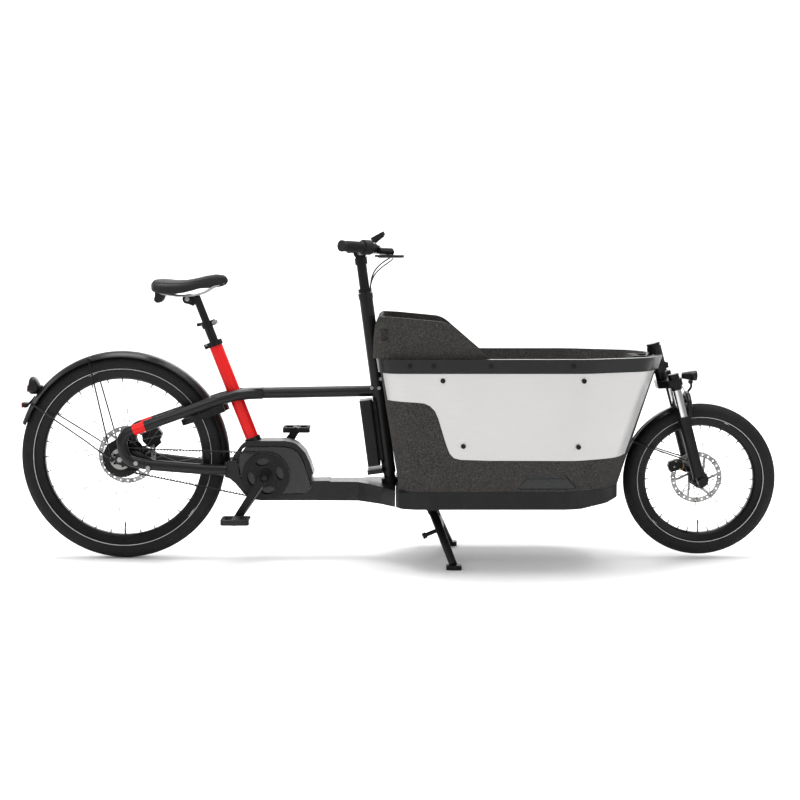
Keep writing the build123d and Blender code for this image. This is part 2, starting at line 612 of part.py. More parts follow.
def rotor(axle, y, r_out, r_bore, r_hub):
    with BuildSketch(Plane.XZ.offset(-(y + 1.0))) as disc:
        with Locations(axle):
            Circle(r_out)
            Circle(r_out - 17, mode=Mode.SUBTRACT)
            with PolarLocations((r_out - 17 + r_hub + 7) / 2, 6):
                Rectangle((r_out - r_hub - 24) / 0.9 + 16, 8, rotation=26)
            Circle(r_hub + 7)
            Circle(r_bore, mode=Mode.SUBTRACT)
            with PolarLocations(r_out - 8.5, 24):
                Circle(3.0, mode=Mode.SUBTRACT)
    extrude(disc.sketch, amount=2.0)


with BuildPart() as rear_rotor:
    rotor(REAR_AXLE, 57, 101.5, 15.1, 27)
rear_rotor.part.label = "rear_rotor"
export_step(rear_rotor.part, "parts/rear_rotor.step")

with BuildPart() as rear_sprocket:
    bar_y(REAR_AXLE[0], REAR_AXLE[1], -61.5, -48.5, SPROCKET_R - 1.8)
    bar_y(REAR_AXLE[0], REAR_AXLE[1], -64.5, -61.5, 30)
    bar_y(REAR_AXLE[0], REAR_AXLE[1], -80, 0, 6.02, Mode.SUBTRACT)
    with BuildSketch(Plane.XZ.offset(48)) as holes:
        with Locations(REAR_AXLE):
            with PolarLocations(24, 5):
                Circle(5)
    extrude(holes.sketch, amount=20, mode=Mode.SUBTRACT)
rear_sprocket.part.label = "rear_sprocket"
export_step(rear_sprocket.part, "parts/rear_sprocket.step")

with BuildPart() as front_tyre:
    tyre(FRONT_AXLE, R_FRONT, 214.0)
front_tyre.part.label = "front_tyre"
export_step(front_tyre.part, "parts/front_tyre.step")

with BuildPart() as front_rim:
    rim(FRONT_AXLE, FRONT_RIM_R, 213.9)
front_rim.part.label = "front_rim"
export_step(front_rim.part, "parts/front_rim.step")

with BuildPart() as front_spokes:
    spokes(FRONT_AXLE, SPOKES_F, 24, FRONT_RIM_R + 1, 26, 62)
front_spokes.part.label = "front_spokes"
export_step(front_spokes.part, "parts/front_spokes.step")

with BuildPart() as front_hub:
    bar_y(FRONT_AXLE[0], FRONT_AXLE[1], -28, 28, 17)
    for y in (-28, 25):
        bar_y(FRONT_AXLE[0], FRONT_AXLE[1], y, y + 3, 29)
    bar_y(FRONT_AXLE[0], FRONT_AXLE[1], 28, 39.9, 22)
    bar_y(FRONT_AXLE[0], FRONT_AXLE[1], -46, 46, 11)
    bar_y(FRONT_AXLE[0], FRONT_AXLE[1], -60, 60, 7.55, Mode.SUBTRACT)
front_hub.part.label = "front_hub"
export_step(front_hub.part, "parts/front_hub.step")

with BuildPart() as front_rotor:
    rotor(FRONT_AXLE, 41, 90, 11.1, 23)
front_rotor.part.label = "front_rotor"
export_step(front_rotor.part, "parts/front_rotor.step")


# ================================================================ crank and pedals
CRANK_D = (math.cos(math.radians(CRANK_A)), math.sin(math.radians(CRANK_A)))
PEDAL_R = (BB[0] + CRANK_L * CRANK_D[0], BB[1] + CRANK_L * CRANK_D[1])
PEDAL_L = (BB[0] - CRANK_L * CRANK_D[0], BB[1] - CRANK_L * CRANK_D[1])
with BuildPart() as crankset:
    bar_y(BB[0], BB[1], -Q_ARM - 4, Q_ARM + 4, 11.0)
    for s, end in ((-1, PEDAL_R), (1, PEDAL_L)):
        with BuildSketch(Plane.XZ.offset(-s * Q_ARM)) as arm:
            with Locations(BB):
                Circle(18)
            with Locations(end):
                Circle(13.5)
            make_hull()
        extrude(arm.sketch, amount=-s * 13)
        bar_y(BB[0], BB[1], *sorted((s * Q_ARM, s * (Q_ARM + 17))), 15)
        bar_y(end[0], end[1], *sorted((s * Q_ARM, s * (Q_ARM + 104))), 4.5)
        bar_y(end[0], end[1], *sorted((s * (Q_ARM + 13), s * (Q_ARM + 16))), 8)
crankset.part.label = "crankset"
export_step(crankset.part, "parts/crankset.step")

with BuildPart() as front_pulley:
    bar_y(BB[0], BB[1], -60.5, -49.5, PULLEY_R - 1.8)
    bar_y(BB[0], BB[1], -64, -60.5, PULLEY_R + 1.5)
    bar_y(BB[0], BB[1], -75.5, -60, 24)
    with BuildSketch(Plane.XZ.offset(48)) as windows:
        with Locations(BB):
            with PolarLocations(50, 4, start_angle=CRANK_A + 45):
                Ellipse(13, 23)
    extrude(windows.sketch, amount=30, mode=Mode.SUBTRACT)
    bar_y(BB[0], BB[1], -61, -40, 36, Mode.SUBTRACT)
    bar_y(BB[0], BB[1], -80, -40, 11.0, Mode.SUBTRACT)
front_pulley.part.label = "front_pulley"
export_step(front_pulley.part, "parts/front_pulley.step")


def pedal(end, s):
    y0, y1 = sorted((s * (Q_ARM + 17.5), s * (Q_ARM + 108)))
    with BuildSketch(Plane.XY.offset(end[1] - 9)) as body:
        with Locations((end[0], (y0 + y1) / 2)):
            RectangleRounded(96, y1 - y0, 12)
            with Locations((-25, 0), (25, 0)):
                RectangleRounded(26, y1 - y0 - 26, 5, mode=Mode.SUBTRACT)
    extrude(body.sketch, amount=18)
    bar_y(end[0], end[1], y0, y1, 10)
    bar_y(end[0], end[1], y0 - 5, y1 + 5, 4.55, Mode.SUBTRACT)
    if s < 0:
        bar_y(end[0], end[1], y0, y0 + 3, 8)
    else:
        bar_y(end[0], end[1], y1 - 3, y1, 8)


with BuildPart() as pedal_right:
    pedal(PEDAL_R, -1)
pedal_right.part.label = "pedal_right"
export_step(pedal_right.part, "parts/pedal_right.step")

with BuildPart() as pedal_left:
    pedal(PEDAL_L, 1)
pedal_left.part.label = "pedal_left"
export_step(pedal_left.part, "parts/pedal_left.step")


# ================================================================ handlebar
BAR_Z = 1062.0
BAR_X = on_line(STEER_P, STEER_A, BAR_Z)
with BuildPart() as stem:
    with BuildSketch(lean_plane(STEER_P, STEER_A, 307)):
        Circle(17.25)
    extrude(amount=(BAR_Z - 307) / math.cos(math.radians(STEER_A)))
    with BuildSketch(lean_plane(STEER_P, STEER_A, 926)):
        Circle(23.5)
    extrude(amount=14)
    with BuildSketch(lean_plane(STEER_P, STEER_A, 1022)):
        Circle(21.5)
    extrude(amount=24)
    bar_y(BAR_X, BAR_Z, -23, 23, 22)
    bar_y(BAR_X, BAR_Z, -60, 60, 15.9, Mode.SUBTRACT)
stem.part.label = "stem"
export_step(stem.part, "parts/stem.step")



def along(a, b, d):
    """The point at distance d from a towards b."""
    v = (Vector(*b) - Vector(*a)).normalized()
    p = Vector(*a) + v * d
    return (p.X, p.Y, p.Z)


def side(p, s):
    """A point taken to the right (s = -1) or left (s = 1)."""
    return (p[0], s * p[1], p[2])


BEND, GRIP_B = (-62.0, 203.0, 1076.0), (-182.0, 321.0, 1082.0)
GRIP_A = along(BEND, GRIP_B, 59)
BAR_END = along(GRIP_B, BEND, 5)
with BuildPart() as handlebar:
    rod((BAR_X, -28, BAR_Z), (BAR_X, 28, BAR_Z), 15.85)
    for s in (-1, 1):
        pipe([(BAR_X, s * 20, BAR_Z), (BAR_X + 8, s * 70, BAR_Z + 2), side(BEND, s), side(BAR_END, s)], [60, 30], 11.1)
handlebar.part.label = "handlebar"
export_step(handlebar.part, "parts/handlebar.step")

with BuildPart() as bar_cut:
    for s in (-1, 1):
        pipe([(BAR_X, s * 20, BAR_Z), (BAR_X + 8, s * 70, BAR_Z + 2), side(BEND, s), side(BAR_END, s)], [60, 30], 11.16)
with BuildPart() as grips:
    for s, start in ((-1, 24), (1, 6)):
        rod(side(along(GRIP_A, GRIP_B, start), s), side(GRIP_B, s), 17.5)
        rod(side(GRIP_B, s), side(along(GRIP_B, GRIP_A, -4), s), 19.0)
    add(bar_cut.part, mode=Mode.SUBTRACT)
grips.part.label = "grips"
export_step(grips.part, "parts/grips.step")

# Twist shifter on the right, inboard of the grip.
with BuildPart() as shifter:
    rod(side(along(GRIP_A, GRIP_B, -14), -1), side(along(GRIP_A, GRIP_B, 20), -1), 25)
    rod(side(along(GRIP_A, GRIP_B, -30), -1), side(along(GRIP_A, GRIP_B, 60), -1), 11.17, Mode.SUBTRACT)
shifter.part.label = "shifter"
export_step(shifter.part, "parts/shifter.step")

# Brake lever bodies with their clamps and reservoirs.
with BuildPart() as brake_bodies:
    for s in (-1, 1):
        rod(side(along(GRIP_A, GRIP_B, -34), s), side(along(GRIP_A, GRIP_B, -17), s), 17)
        rod((-66, s * 228, 1068), (-24, s * 181, 1066), 11)
        rod((-46, s * 204, 1066), (-66, s * 196, 1071), 8)
    add(bar_cut.part, mode=Mode.SUBTRACT)
    for s in (-1, 1):
        rod((-38, s * 192, 1040), (-38, s * 192, 1071), 3.05, Mode.SUBTRACT)
brake_bodies.part.label = "brake_bodies"
export_step(brake_bodies.part, "parts/brake_bodies.step")


# Brake levers, each on its own pivot pin.
def lever(s):
    with BuildSketch(Plane.XY.offset(1046)) as blade:
        with BuildLine():
            Polyline(*[(x, s * y) for x, y in (
                (-46, 196), (-44, 186), (-30, 182), (-8, 190), (12, 208), (19, 230), (14, 252), (-4, 276), (-34, 309), (-62, 343),
                (-70, 347), (-76, 343), (-74, 335), (-48, 301), (-18, 266), (-4, 246), (0, 232), (-6, 220), (-22, 208),
                (-40, 204))], close=True)
        make_face()
    extrude(blade.sketch, amount=7.2)
    rod((-38, s * 192, 1046.5), (-38, s * 192, 1070), 3.0)


with BuildPart() as brake_lever_right:
    lever(-1)
brake_lever_right.part.label = "brake_lever_right"
export_step(brake_lever_right.part, "parts/brake_lever_right.step")

with BuildPart() as brake_lever_left:
    lever(1)
brake_lever_left.part.label = "brake_lever_left"
export_step(brake_lever_left.part, "parts/brake_lever_left.step")

# Brake hoses from the lever bodies down the front of the stem into its collar.
HOSE_PTS = [(-30, 177, 1058), (-22, 140, 1048), (-38, 98, 1040), (-62, 58, 1024), (-84, 29, 1000), (-95, 12, 970), (-98, 6, 937)]
HOSE_PTS_L = [(-30, 177, 1058), (-19, 139, 1043), (-33, 96, 1031), (-58, 56, 1014), (-82, 29, 991), (-95, 13, 963), (-98.5, 7, 936)]


def cord_radii(points):
    """The largest arc that each corner of a route takes: 0.45 of its shorter run over the tangent of half the turn."""
    out = []
    for a, b, c in zip(points, points[1:], points[2:]):
        u, v = Vector(*b) - Vector(*a), Vector(*c) - Vector(*b)
        out.append(0.45 * min(u.length, v.length) / math.tan(math.radians(u.get_angle(v)) / 2))
    return out


with BuildPart() as brake_hoses:
    for s, pts in ((-1, HOSE_PTS), (1, HOSE_PTS_L)):
        route = [side(p, s) for p in pts]
        print("hose radii", [round(r) for r in cord_radii(route)])
        pipe(route, cord_radii(route), 2.5)
brake_hoses.part.label = "brake_hoses"
export_step(brake_hoses.part, "parts/brake_hoses.step")

# Display on a bracket ahead of the clamp.
with BuildPart() as display:
    with BuildSketch(Plane(origin=(-68, 0, 1112), x_dir=(math.cos(0.5), 0, math.sin(0.5)), z_dir=(-math.sin(0.5), 0, math.cos(0.5)))):
        RectangleRounded(52, 66, 8)
    extrude(amount=13)
    plate_y([(BAR_X + 14, 1074), (-82, 1112), (-52, 1128), (-48, 1119), (-72, 1100), (BAR_X + 24, 1064)], -9, 9)
    bar_y(BAR_X, BAR_Z, -30, 30, 22.2, Mode.SUBTRACT)
display.part.label = "display"
export_step(display.part, "parts/display.step")


# ================================================================ fork
def head(z_off):
    """A plane across the fork steering axis, z_off along it from the crown's lower face."""
    return lean_plane(HEAD_P, HEAD_A, 588).offset(z_off)


with BuildPart() as fork_crown:
    with BuildSketch(head(14)):
        with BuildLine():
            FilletPolyline((-24, -30), (4, -94), (53, -94), (55, -40), (55, 40), (53, 94), (4, 94), (-24, 30),
                           radius=[20, 18, 18, 30, 30, 18, 18, 20], close=True)
        make_face()
    extrude(amount=24)
    with BuildSketch(head(0)):
        with Locations((LEG_OFF, -LEG_Y), (LEG_OFF, LEG_Y)):
            Circle(19)
    extrude(amount=56)
    with BuildSketch(head(30)):
        Circle(19)
    extrude(amount=34)
    with BuildSketch(head(40)):
        Circle(15.0)
    extrude(amount=110)
    with BuildSketch(head(-2)):
        with Locations((LEG_OFF, -LEG_Y), (LEG_OFF, LEG_Y)):
            Circle(15.0)
    extrude(amount=52, mode=Mode.SUBTRACT)
fork_crown.part.label = "fork_crown"
export_step(fork_crown.part, "parts/fork_crown.step")

# Stanchions, pressed into the crown.
with BuildPart() as stanchions:
    with BuildSketch(head(-228)):
        with Locations((LEG_OFF, -LEG_Y), (LEG_OFF, LEG_Y)):
            Circle(14.98)
            Circle(12.5, mode=Mode.SUBTRACT)
    extrude(amount=277)
stanchions.part.label = "stanchions"
export_step(stanchions.part, "parts/stanchions.step")

# Lower legs with the arch and the axle.
LOW_TOP = -96.0      # top of the lowers below the crown's lower face
with BuildPart() as fork_lowers:
    with BuildSketch(head(LOW_TOP - 214)):
        with Locations((LEG_OFF, -LEG_Y), (LEG_OFF, LEG_Y)):
            Circle(20.5)
    extrude(amount=214)
    with BuildSketch(head(LOW_TOP - 16)):
        with Locations((LEG_OFF, -LEG_Y), (LEG_OFF, LEG_Y)):
            Circle(22.5)
    extrude(amount=16)
    for s in (-1, 1):
        bar_y(FRONT_AXLE[0] - 4, FRONT_AXLE[1], *sorted((s * 47.5, s * 88)), 15)
        plate_y([(1010, 330), (1040, 340), (1064, 282), (1052, 262), (1034, 264)], *sorted((s * 50.0, s * 76.0)))
        # arch upright ahead of the stanchion
        a = head(LOW_TOP - 12).from_local_coords(Vector(LEG_OFF + 20, s * (LEG_Y - 2), 0))
        b = head(LOW_TOP + 42).from_local_coords(Vector(LEG_OFF + 36, s * 50, 0))
        c = head(LOW_TOP + 62).from_local_coords(Vector(LEG_OFF + 41, s * 24, 0))
        d = head(LOW_TOP + 66).from_local_coords(Vector(LEG_OFF + 42, 0, 0))
        for p, q in ((a, b), (b, c), (c, d)):
            rod(tuple(p), tuple(q), 8.5)
        for p in (b, c):
            with BuildPart(Location(p), mode=Mode.PRIVATE) as ball:
                Sphere(8.5)
            add(ball.part)
    with BuildSketch(head(LOW_TOP - 206)):
        with Locations((LEG_OFF, -LEG_Y), (LEG_OFF, LEG_Y)):
            Circle(15.03)
    extrude(amount=260, mode=Mode.SUBTRACT)
    bar_y(FRONT_AXLE[0], FRONT_AXLE[1], -90, 90, 7.5)
    bar_y(FRONT_AXLE[0], FRONT_AXLE[1], -46.8, 46.8, 30, Mode.SUBTRACT)
    bar_y(FRONT_AXLE[0], FRONT_AXLE[1], -90, 90, 7.5)
fork_lowers.part.label = "fork_lowers"
export_step(fork_lowers.part, "parts/fork_lowers.step")

# Front mudguard with its lower stays.
with BuildPart() as front_fender:
    guard(FRONT_AXLE, 273.5, 34, 15, 97, 161, 2.2)
    for s in (-1, 1):
        rod((815, s * 33, 410), (1007, s * 59, 346), 2.5)
    plate_y([(980, 539), (981, 556), (1012, 560), (1012, 547)], -16, 16)
    bar_y(FRONT_AXLE[0], FRONT_AXLE[1], -20, 20, 271.8, Mode.SUBTRACT)
front_fender.part.label = "front_fender"
export_step(front_fender.part, "parts/front_fender.step")

# Headlight on its bracket.
with BuildPart() as headlight:
    with BuildSketch(Plane.YZ.offset(983)):
        with Locations((0, 636)):
            Circle(15)
    with BuildSketch(Plane.YZ.offset(1033)):
        with Locations((0, 638)):
            RectangleRounded(44, 34, 12)
    loft()
    plate_y([(1000, 624), (1018, 622), (1024, 596), (1006, 570), (998, 574), (1010, 598), (1002, 612)], -7, 7)
headlight.part.label = "headlight"
export_step(headlight.part, "parts/headlight.step")

with BuildPart() as front_caliper:
    caliper(973, 319, 15, 33, 56, 37)
    plate_y([(985, 330), (1006, 352), (1024, 326), (1012, 292), (988, 304)], 48, 56)
    bar_y(FRONT_AXLE[0], FRONT_AXLE[1], 38.5, 43.5, 92.5, Mode.SUBTRACT)
front_caliper.part.label = "front_caliper"
export_step(front_caliper.part, "parts/front_caliper.step")


# ================================================================ kickstand
with BuildPart() as stand_legs:
    bar_y(116, 178, -62, 62, 8.0)
    for s in (-1, 1):
        bar_y(116, 178, *sorted((s * 57.0, s * 84.0)), 17)
        with BuildSketch(Plane(origin=(116, s * 70, 178), x_dir=(1, 0, 0), z_dir=(52, s * 110, -146))) as top:
            RectangleRounded(30, 22, 8)
        with BuildSketch(Plane(origin=(184, s * 199, 16), x_dir=(1, 0, 0), z_dir=(52, s * 110, -146))) as low:
            RectangleRounded(26, 20, 8)
        loft(sections=[top.sketch, low.sketch])
    rod((147, -108, 122), (84, -122, 98), 7)
    rod((94, -121, 102), (82, -123, 97), 10.5)
    bar_y(147, 124, -112, 112, 8)
    with BuildPart(mode=Mode.PRIVATE) as floor_cut:
        with BuildSketch(Plane.XY.offset(7)):
            Rectangle(900, 900)
        extrude(amount=-60)
    add(floor_cut.part, mode=Mode.SUBTRACT)
    for s in (-1, 1):
        with BuildSketch(Plane.XY) as foot:
            with Locations((186, s * 202)):
                RectangleRounded(52, 34, 12)
        extrude(foot.sketch, amount=16)
stand_legs.part.label = "stand_legs"
export_step(stand_legs.part, "parts/stand_legs.step")


# ================================================================ seat
POST_TOP = 912.0
POST_X = on_line(SEAT_P, SEAT_A, POST_TOP)
with BuildPart() as seatpost:
    with BuildSketch(lean_plane(SEAT_P, SEAT_A, 640)):
        Circle(13.6)
    extrude(amount=(POST_TOP - 640) / math.cos(math.radians(SEAT_A)))
    plate_y([(POST_X + 8, 918), (POST_X + 12, 904), (-708, 880), (-728, 888), (-742, 902), (-738, 915), (-724, 921)], -13, 13)
    bar_y(-727, 904, -20, 20, 16.5)
    bar_y(-727, 904, -24, 24, 5)
seatpost.part.label = "seatpost"
export_step(seatpost.part, "parts/seatpost.step")

RAIL = [(-600, 12, 957), (-640, 20, 944), (-668, 22, 926), (-706, 22, 915.5), (-760, 22, 914.5), (-812, 34, 922), (-836, 44, 938)]
with BuildPart() as saddle_rails:
    for s in (-1, 1):
        route = [side(p, s) for p in RAIL]
        pipe(route, [min(60, r) for r in cord_radii(route)], 3.5)
saddle_rails.part.label = "saddle_rails"
export_step(saddle_rails.part, "parts/saddle_rails.step")

# Saddle: a plain closed pad with the saddle's plan and side outlines.
with BuildPart() as saddle:
    with BuildSketch(Plane.XY.offset(900)):
        with BuildLine():
            Spline((-852, 0), (-846, 60), (-812, 88), (-760, 66), (-700, 34), (-640, 22), (-600, 17), (-588, 0))
            Spline((-588, 0), (-600, -17), (-640, -22), (-700, -34), (-760, -66), (-812, -88), (-846, -60), (-852, 0))
        make_face()
    extrude(amount=120)
    with BuildPart(mode=Mode.PRIVATE) as profile:
        with BuildSketch(Plane.XZ.offset(-100)) as outline:
            with BuildLine():
                Polyline((-853, 938), (-850, 960), (-836, 973), (-800, 974.5), (-762, 970.5), (-724, 971.5), (-690, 978), (-660, 986),
                         (-628, 989.5), (-604, 986), (-590, 976), (-587, 968), (-594, 962), (-620, 949), (-650, 945), (-690, 949),
                         (-720, 936), (-760, 926), (-800, 926), (-826, 930), close=True)
            make_face()
        extrude(outline.sketch, amount=200)
    add(profile.part, mode=Mode.INTERSECT)
    plate_y([(-840, 935), (-806, 932), (-802, 905), (-812, 884), (-832, 880), (-846, 892), (-838, 912)], -19, 19)
saddle.part.label = "saddle"
export_step(saddle.part, "parts/saddle.step")

# Quick-release lever of the post collar: a cam barrel on the left with its handle pointing back.
with BuildPart() as qr_lever:
    up = lean_plane(SEAT_P, SEAT_A, 818).z_dir
    c = Vector(QR_X, 21.0, QR_Z)
    rod(tuple(c - up * 6), tuple(c + up * 6), 6.5)
    rod(tuple(c), (QR_X - 40, 27, QR_Z - 6), 4)
    rod((QR_X - 36, 27, QR_Z - 5.4), (QR_X - 66, 25, QR_Z - 11), 6)
qr_lever.part.label = "qr_lever"
export_step(qr_lever.part, "parts/qr_lever.step")
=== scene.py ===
import bpy, math
import numpy as np
from mathutils import Vector, Matrix


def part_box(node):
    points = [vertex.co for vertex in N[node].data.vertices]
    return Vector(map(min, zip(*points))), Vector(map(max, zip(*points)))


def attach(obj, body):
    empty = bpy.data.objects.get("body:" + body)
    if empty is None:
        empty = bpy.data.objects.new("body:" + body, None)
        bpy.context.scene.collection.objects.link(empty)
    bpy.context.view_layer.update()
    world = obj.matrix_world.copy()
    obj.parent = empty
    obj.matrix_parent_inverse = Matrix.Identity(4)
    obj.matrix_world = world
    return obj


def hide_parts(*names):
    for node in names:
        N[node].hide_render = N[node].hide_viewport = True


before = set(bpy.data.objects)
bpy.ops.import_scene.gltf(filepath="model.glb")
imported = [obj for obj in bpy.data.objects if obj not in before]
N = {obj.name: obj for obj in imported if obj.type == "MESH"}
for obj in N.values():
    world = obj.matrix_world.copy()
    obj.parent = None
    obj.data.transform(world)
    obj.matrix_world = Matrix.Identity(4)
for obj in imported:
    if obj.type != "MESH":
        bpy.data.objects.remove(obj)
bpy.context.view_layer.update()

REAR, FRONT, BB = (-0.958, 0.355), (1.048, 0.277), (-0.460, 0.295)


# ---------------------------------------------------------------- camera first
cam_data = bpy.data.cameras.new("camera")
cam = bpy.data.objects.new("camera", cam_data)
bpy.context.scene.collection.objects.link(cam)
cam.location = (0.0045, -4.8, 1.024)
cam.rotation_euler = (math.radians(90 - 5.597), 0, 0)
cam_data.lens, cam_data.sensor_width = 62.45, 36
cam_data.clip_start, cam_data.clip_end = 0.05, 200
bpy.context.scene.camera = cam


# ---------------------------------------------------------------- materials
def new_mat(name):
    m = bpy.data.materials.new(name)
    m.use_nodes = True
    nt = m.node_tree
    bsdf = nt.nodes["Principled BSDF"]
    tc = nt.nodes.new("ShaderNodeTexCoord")
    return m, nt, bsdf, tc.outputs["Object"]


def mapping(nt, vec, scale):
    mp = nt.nodes.new("ShaderNodeMapping")
    mp.inputs["Scale"].default_value = scale
    nt.links.new(vec, mp.inputs["Vector"])
    return mp.outputs["Vector"]


def noise(nt, vec, scale, detail=4.0, rough=0.55, dist=0.0):
    n = nt.nodes.new("ShaderNodeTexNoise")
    n.inputs["Scale"].default_value = scale
    n.inputs["Detail"].default_value = detail
    n.inputs["Roughness"].default_value = rough
    n.inputs["Distortion"].default_value = dist
    nt.links.new(vec, n.inputs["Vector"])
    return n.outputs["Fac"]


def voronoi(nt, vec, scale, feature="F1", out="Distance", rand=1.0):
    n = nt.nodes.new("ShaderNodeTexVoronoi")
    n.feature = feature
    n.inputs["Scale"].default_value = scale
    n.inputs["Randomness"].default_value = rand
    nt.links.new(vec, n.inputs["Vector"])
    return n.outputs[out]


def ramp(nt, fac, stops):
    r = nt.nodes.new("ShaderNodeValToRGB")
    while len(r.color_ramp.elements) < len(stops):
        r.color_ramp.elements.new(0.5)
    for e, (p, c) in zip(r.color_ramp.elements, stops):
        e.position = p
        e.color = (*c, 1.0) if len(c) == 3 else c
    nt.links.new(fac, r.inputs["Fac"])
    return r.outputs["Color"]


def rng(nt, fac, a, b, lo=0.0, hi=1.0):
    r = nt.nodes.new("ShaderNodeMapRange")
    r.inputs["From Min"].default_value, r.inputs["From Max"].default_value = lo, hi
    r.inputs["To Min"].default_value, r.inputs["To Max"].default_value = a, b
    nt.links.new(fac, r.inputs["Value"])
    return r.outputs["Result"]


def mth(nt, op, a, b=None):
    n = nt.nodes.new("ShaderNodeMath")
    n.operation = op
    for i, v in enumerate((a, b)):
        if v is None:
            continue
        if isinstance(v, (int, float)):
            n.inputs[i].default_value = v
        else:
            nt.links.new(v, n.inputs[i])
    return n.outputs[0]


def mixc(nt, fac, a, b):
    n = nt.nodes.new("ShaderNodeMix")
    n.data_type = "RGBA"
    for key, v in ((0, fac), (6, a), (7, b)):
        if isinstance(v, (int, float)):
            n.inputs[key].default_value = v
        elif isinstance(v, tuple):
            n.inputs[key].default_value = (*v, 1.0)
        else:
            nt.links.new(v, n.inputs[key])
    return n.outputs[2]


def bump(nt, height, strength, dist, prev=None):
    b = nt.nodes.new("ShaderNodeBump")
    b.inputs["Strength"].default_value = strength
    b.inputs["Distance"].default_value = dist
    nt.links.new(height, b.inputs["Height"])
    if prev is not None:
        nt.links.new(prev, b.inputs["Normal"])
    return b.outputs["Normal"]


def surface(name, base, rough=0.45, metal=0.0, var=0.2, vscale=14, rvar=0.08, bscale=700, bstr=0.12, bdist=0.0004,
            coat=0.0, coat_rough=0.12, sheen=0.0, scuff=0.0, scuff_col=(0.12, 0.12, 0.12), stretch=None, spec=0.22):
    m, nt, bsdf, co = new_mat(name)
    n1 = noise(nt, co, vscale, 6, 0.6)
    lo = tuple(c * (1 - var) for c in base)
    hi = tuple(min(1, c * (1 + var)) for c in base)
    col = ramp(nt, n1, [(0.3, lo), (0.7, hi)])
    if scuff:
        n2 = noise(nt, co, 55, 8, 0.75, 0.4)
        n3 = noise(nt, co, 6, 3)
        mask = mth(nt, "MULTIPLY", rng(nt, n2, 0, 1, 0.62, 0.70), rng(nt, n3, 0, scuff, 0.5, 0.68))
        col = mixc(nt, mask, col, scuff_col)
    nt.links.new(col, bsdf.inputs["Base Color"])
    n4 = noise(nt, co, vscale * 5.3, 5, 0.65)
    nt.links.new(rng(nt, n4, max(0.02, rough - rvar), min(1, rough + rvar), 0.25, 0.75), bsdf.inputs["Roughness"])
    bsdf.inputs["Metallic"].default_value = metal
    bsdf.inputs["Specular IOR Level"].default_value = spec
    vec = mapping(nt, co, stretch) if stretch else co
    h = noise(nt, vec, bscale, 3, 0.5)
    nt.links.new(bump(nt, h, bstr, bdist), bsdf.inputs["Normal"])
    bsdf.inputs["Coat Weight"].default_value = coat
    bsdf.inputs["Coat Roughness"].default_value = coat_rough
    if sheen:
        bsdf.inputs["Sheen Weight"].default_value = sheen
        bsdf.inputs["Sheen Roughness"].default_value = 0.4
    return m


BLACK = surface("black_powder_coat", (0.0060, 0.0060, 0.0065), 0.38, var=0.22, bscale=900, bstr=0.16, coat=0.10, coat_rough=0.25, scuff=0.05)
RED = surface("red_powder_coat", (0.66, 0.004, 0.005), 0.42, var=0.04, bscale=900, bstr=0.12, coat=0.12, coat_rough=0.2)
PART = surface("black_anodised", (0.0065, 0.0065, 0.007), 0.36, metal=0.2, var=0.25, bscale=1400, bstr=0.10, scuff=0.06)
MOTOR = surface("cast_cover_grey", (0.011, 0.0115, 0.0125), 0.5, var=0.2, bscale=1100, bstr=0.35, bdist=0.0006)
GLOSS = surface("gloss_smoke_plastic", (0.0095, 0.0100, 0.0110), 0.24, var=0.15, rvar=0.05, bscale=300, bstr=0.03, coat=0.35, coat_rough=0.06)
BATT = surface("battery_plastic", (0.008, 0.008, 0.0085), 0.42, var=0.2, bscale=1300, bstr=0.35, bdist=0.0005)
TRAY = surface("moulded_tray_plastic", (0.0085, 0.0085, 0.009), 0.5, var=0.25, bscale=850, bstr=0.35, bdist=0.0007, scuff=0.10, scuff_col=(0.05, 0.05, 0.05))
FENDER = surface("fender_plastic", (0.0055, 0.0055, 0.006), 0.34, var=0.2, bscale=600, bstr=0.10, coat=0.08, scuff=0.05, scuff_col=(0.05, 0.05, 0.05))
RUBBER = surface("grip_rubber", (0.007, 0.007, 0.007), 0.72, var=0.25, bscale=1800, bstr=0.4, bdist=0.0004, sheen=0.15)
TYRE = surface("tyre_rubber", (0.0062, 0.0062, 0.0064), 0.68, var=0.3, vscale=22, bscale=1200, bstr=0.35, bdist=0.0005, scuff=0.25, scuff_col=(0.024, 0.023, 0.022))
RIM = surface("rim_black", (0.006, 0.006, 0.0065), 0.32, metal=0.25, var=0.2, bscale=1000, bstr=0.08)
STEEL = surface("brushed_stainless", (0.30, 0.295, 0.29), 0.34, metal=1.0, var=0.10, bscale=2200, bstr=0.10, rvar=0.1)
CHROME = surface("polished_stanchion", (0.60, 0.60, 0.61), 0.14, metal=1.0, var=0.05, rvar=0.04, bscale=500, bstr=0.02)
SPOKE = surface("spoke_steel", (0.095, 0.095, 0.098), 0.36, metal=1.0, var=0.08, rvar=0.08, bscale=900, bstr=0.04)
SCREW = surface("black_oxide_screw", (0.016, 0.016, 0.017), 0.35, metal=0.6, var=0.25, bscale=1500, bstr=0.1)
HOSE = surface("hose_rubber", (0.012, 0.012, 0.012), 0.45, var=0.2, bscale=1500, bstr=0.15)
PEDAL = surface("pedal_plastic", (0.014, 0.014, 0.014), 0.6, var=0.25, bscale=1100, bstr=0.4, bdist=0.0005, scuff=0.25, scuff_col=(0.07, 0.07, 0.07))
STRIPE = surface("reflex_stripe", (0.50, 0.51, 0.52), 0.35, var=0.12, vscale=60, bscale=1800, bstr=0.2)
REDLENS = surface("red_lens", (0.45, 0.006, 0.006), 0.12, var=0.12, vscale=80, bscale=260, bstr=0.25, bdist=0.0006, coat=0.8, coat_rough=0.03)
AMBER = surface("amber_reflector", (0.75, 0.22, 0.01), 0.18, var=0.12, vscale=80, bscale=300, bstr=0.4, bdist=0.0006, coat=0.6, coat_rough=0.05)
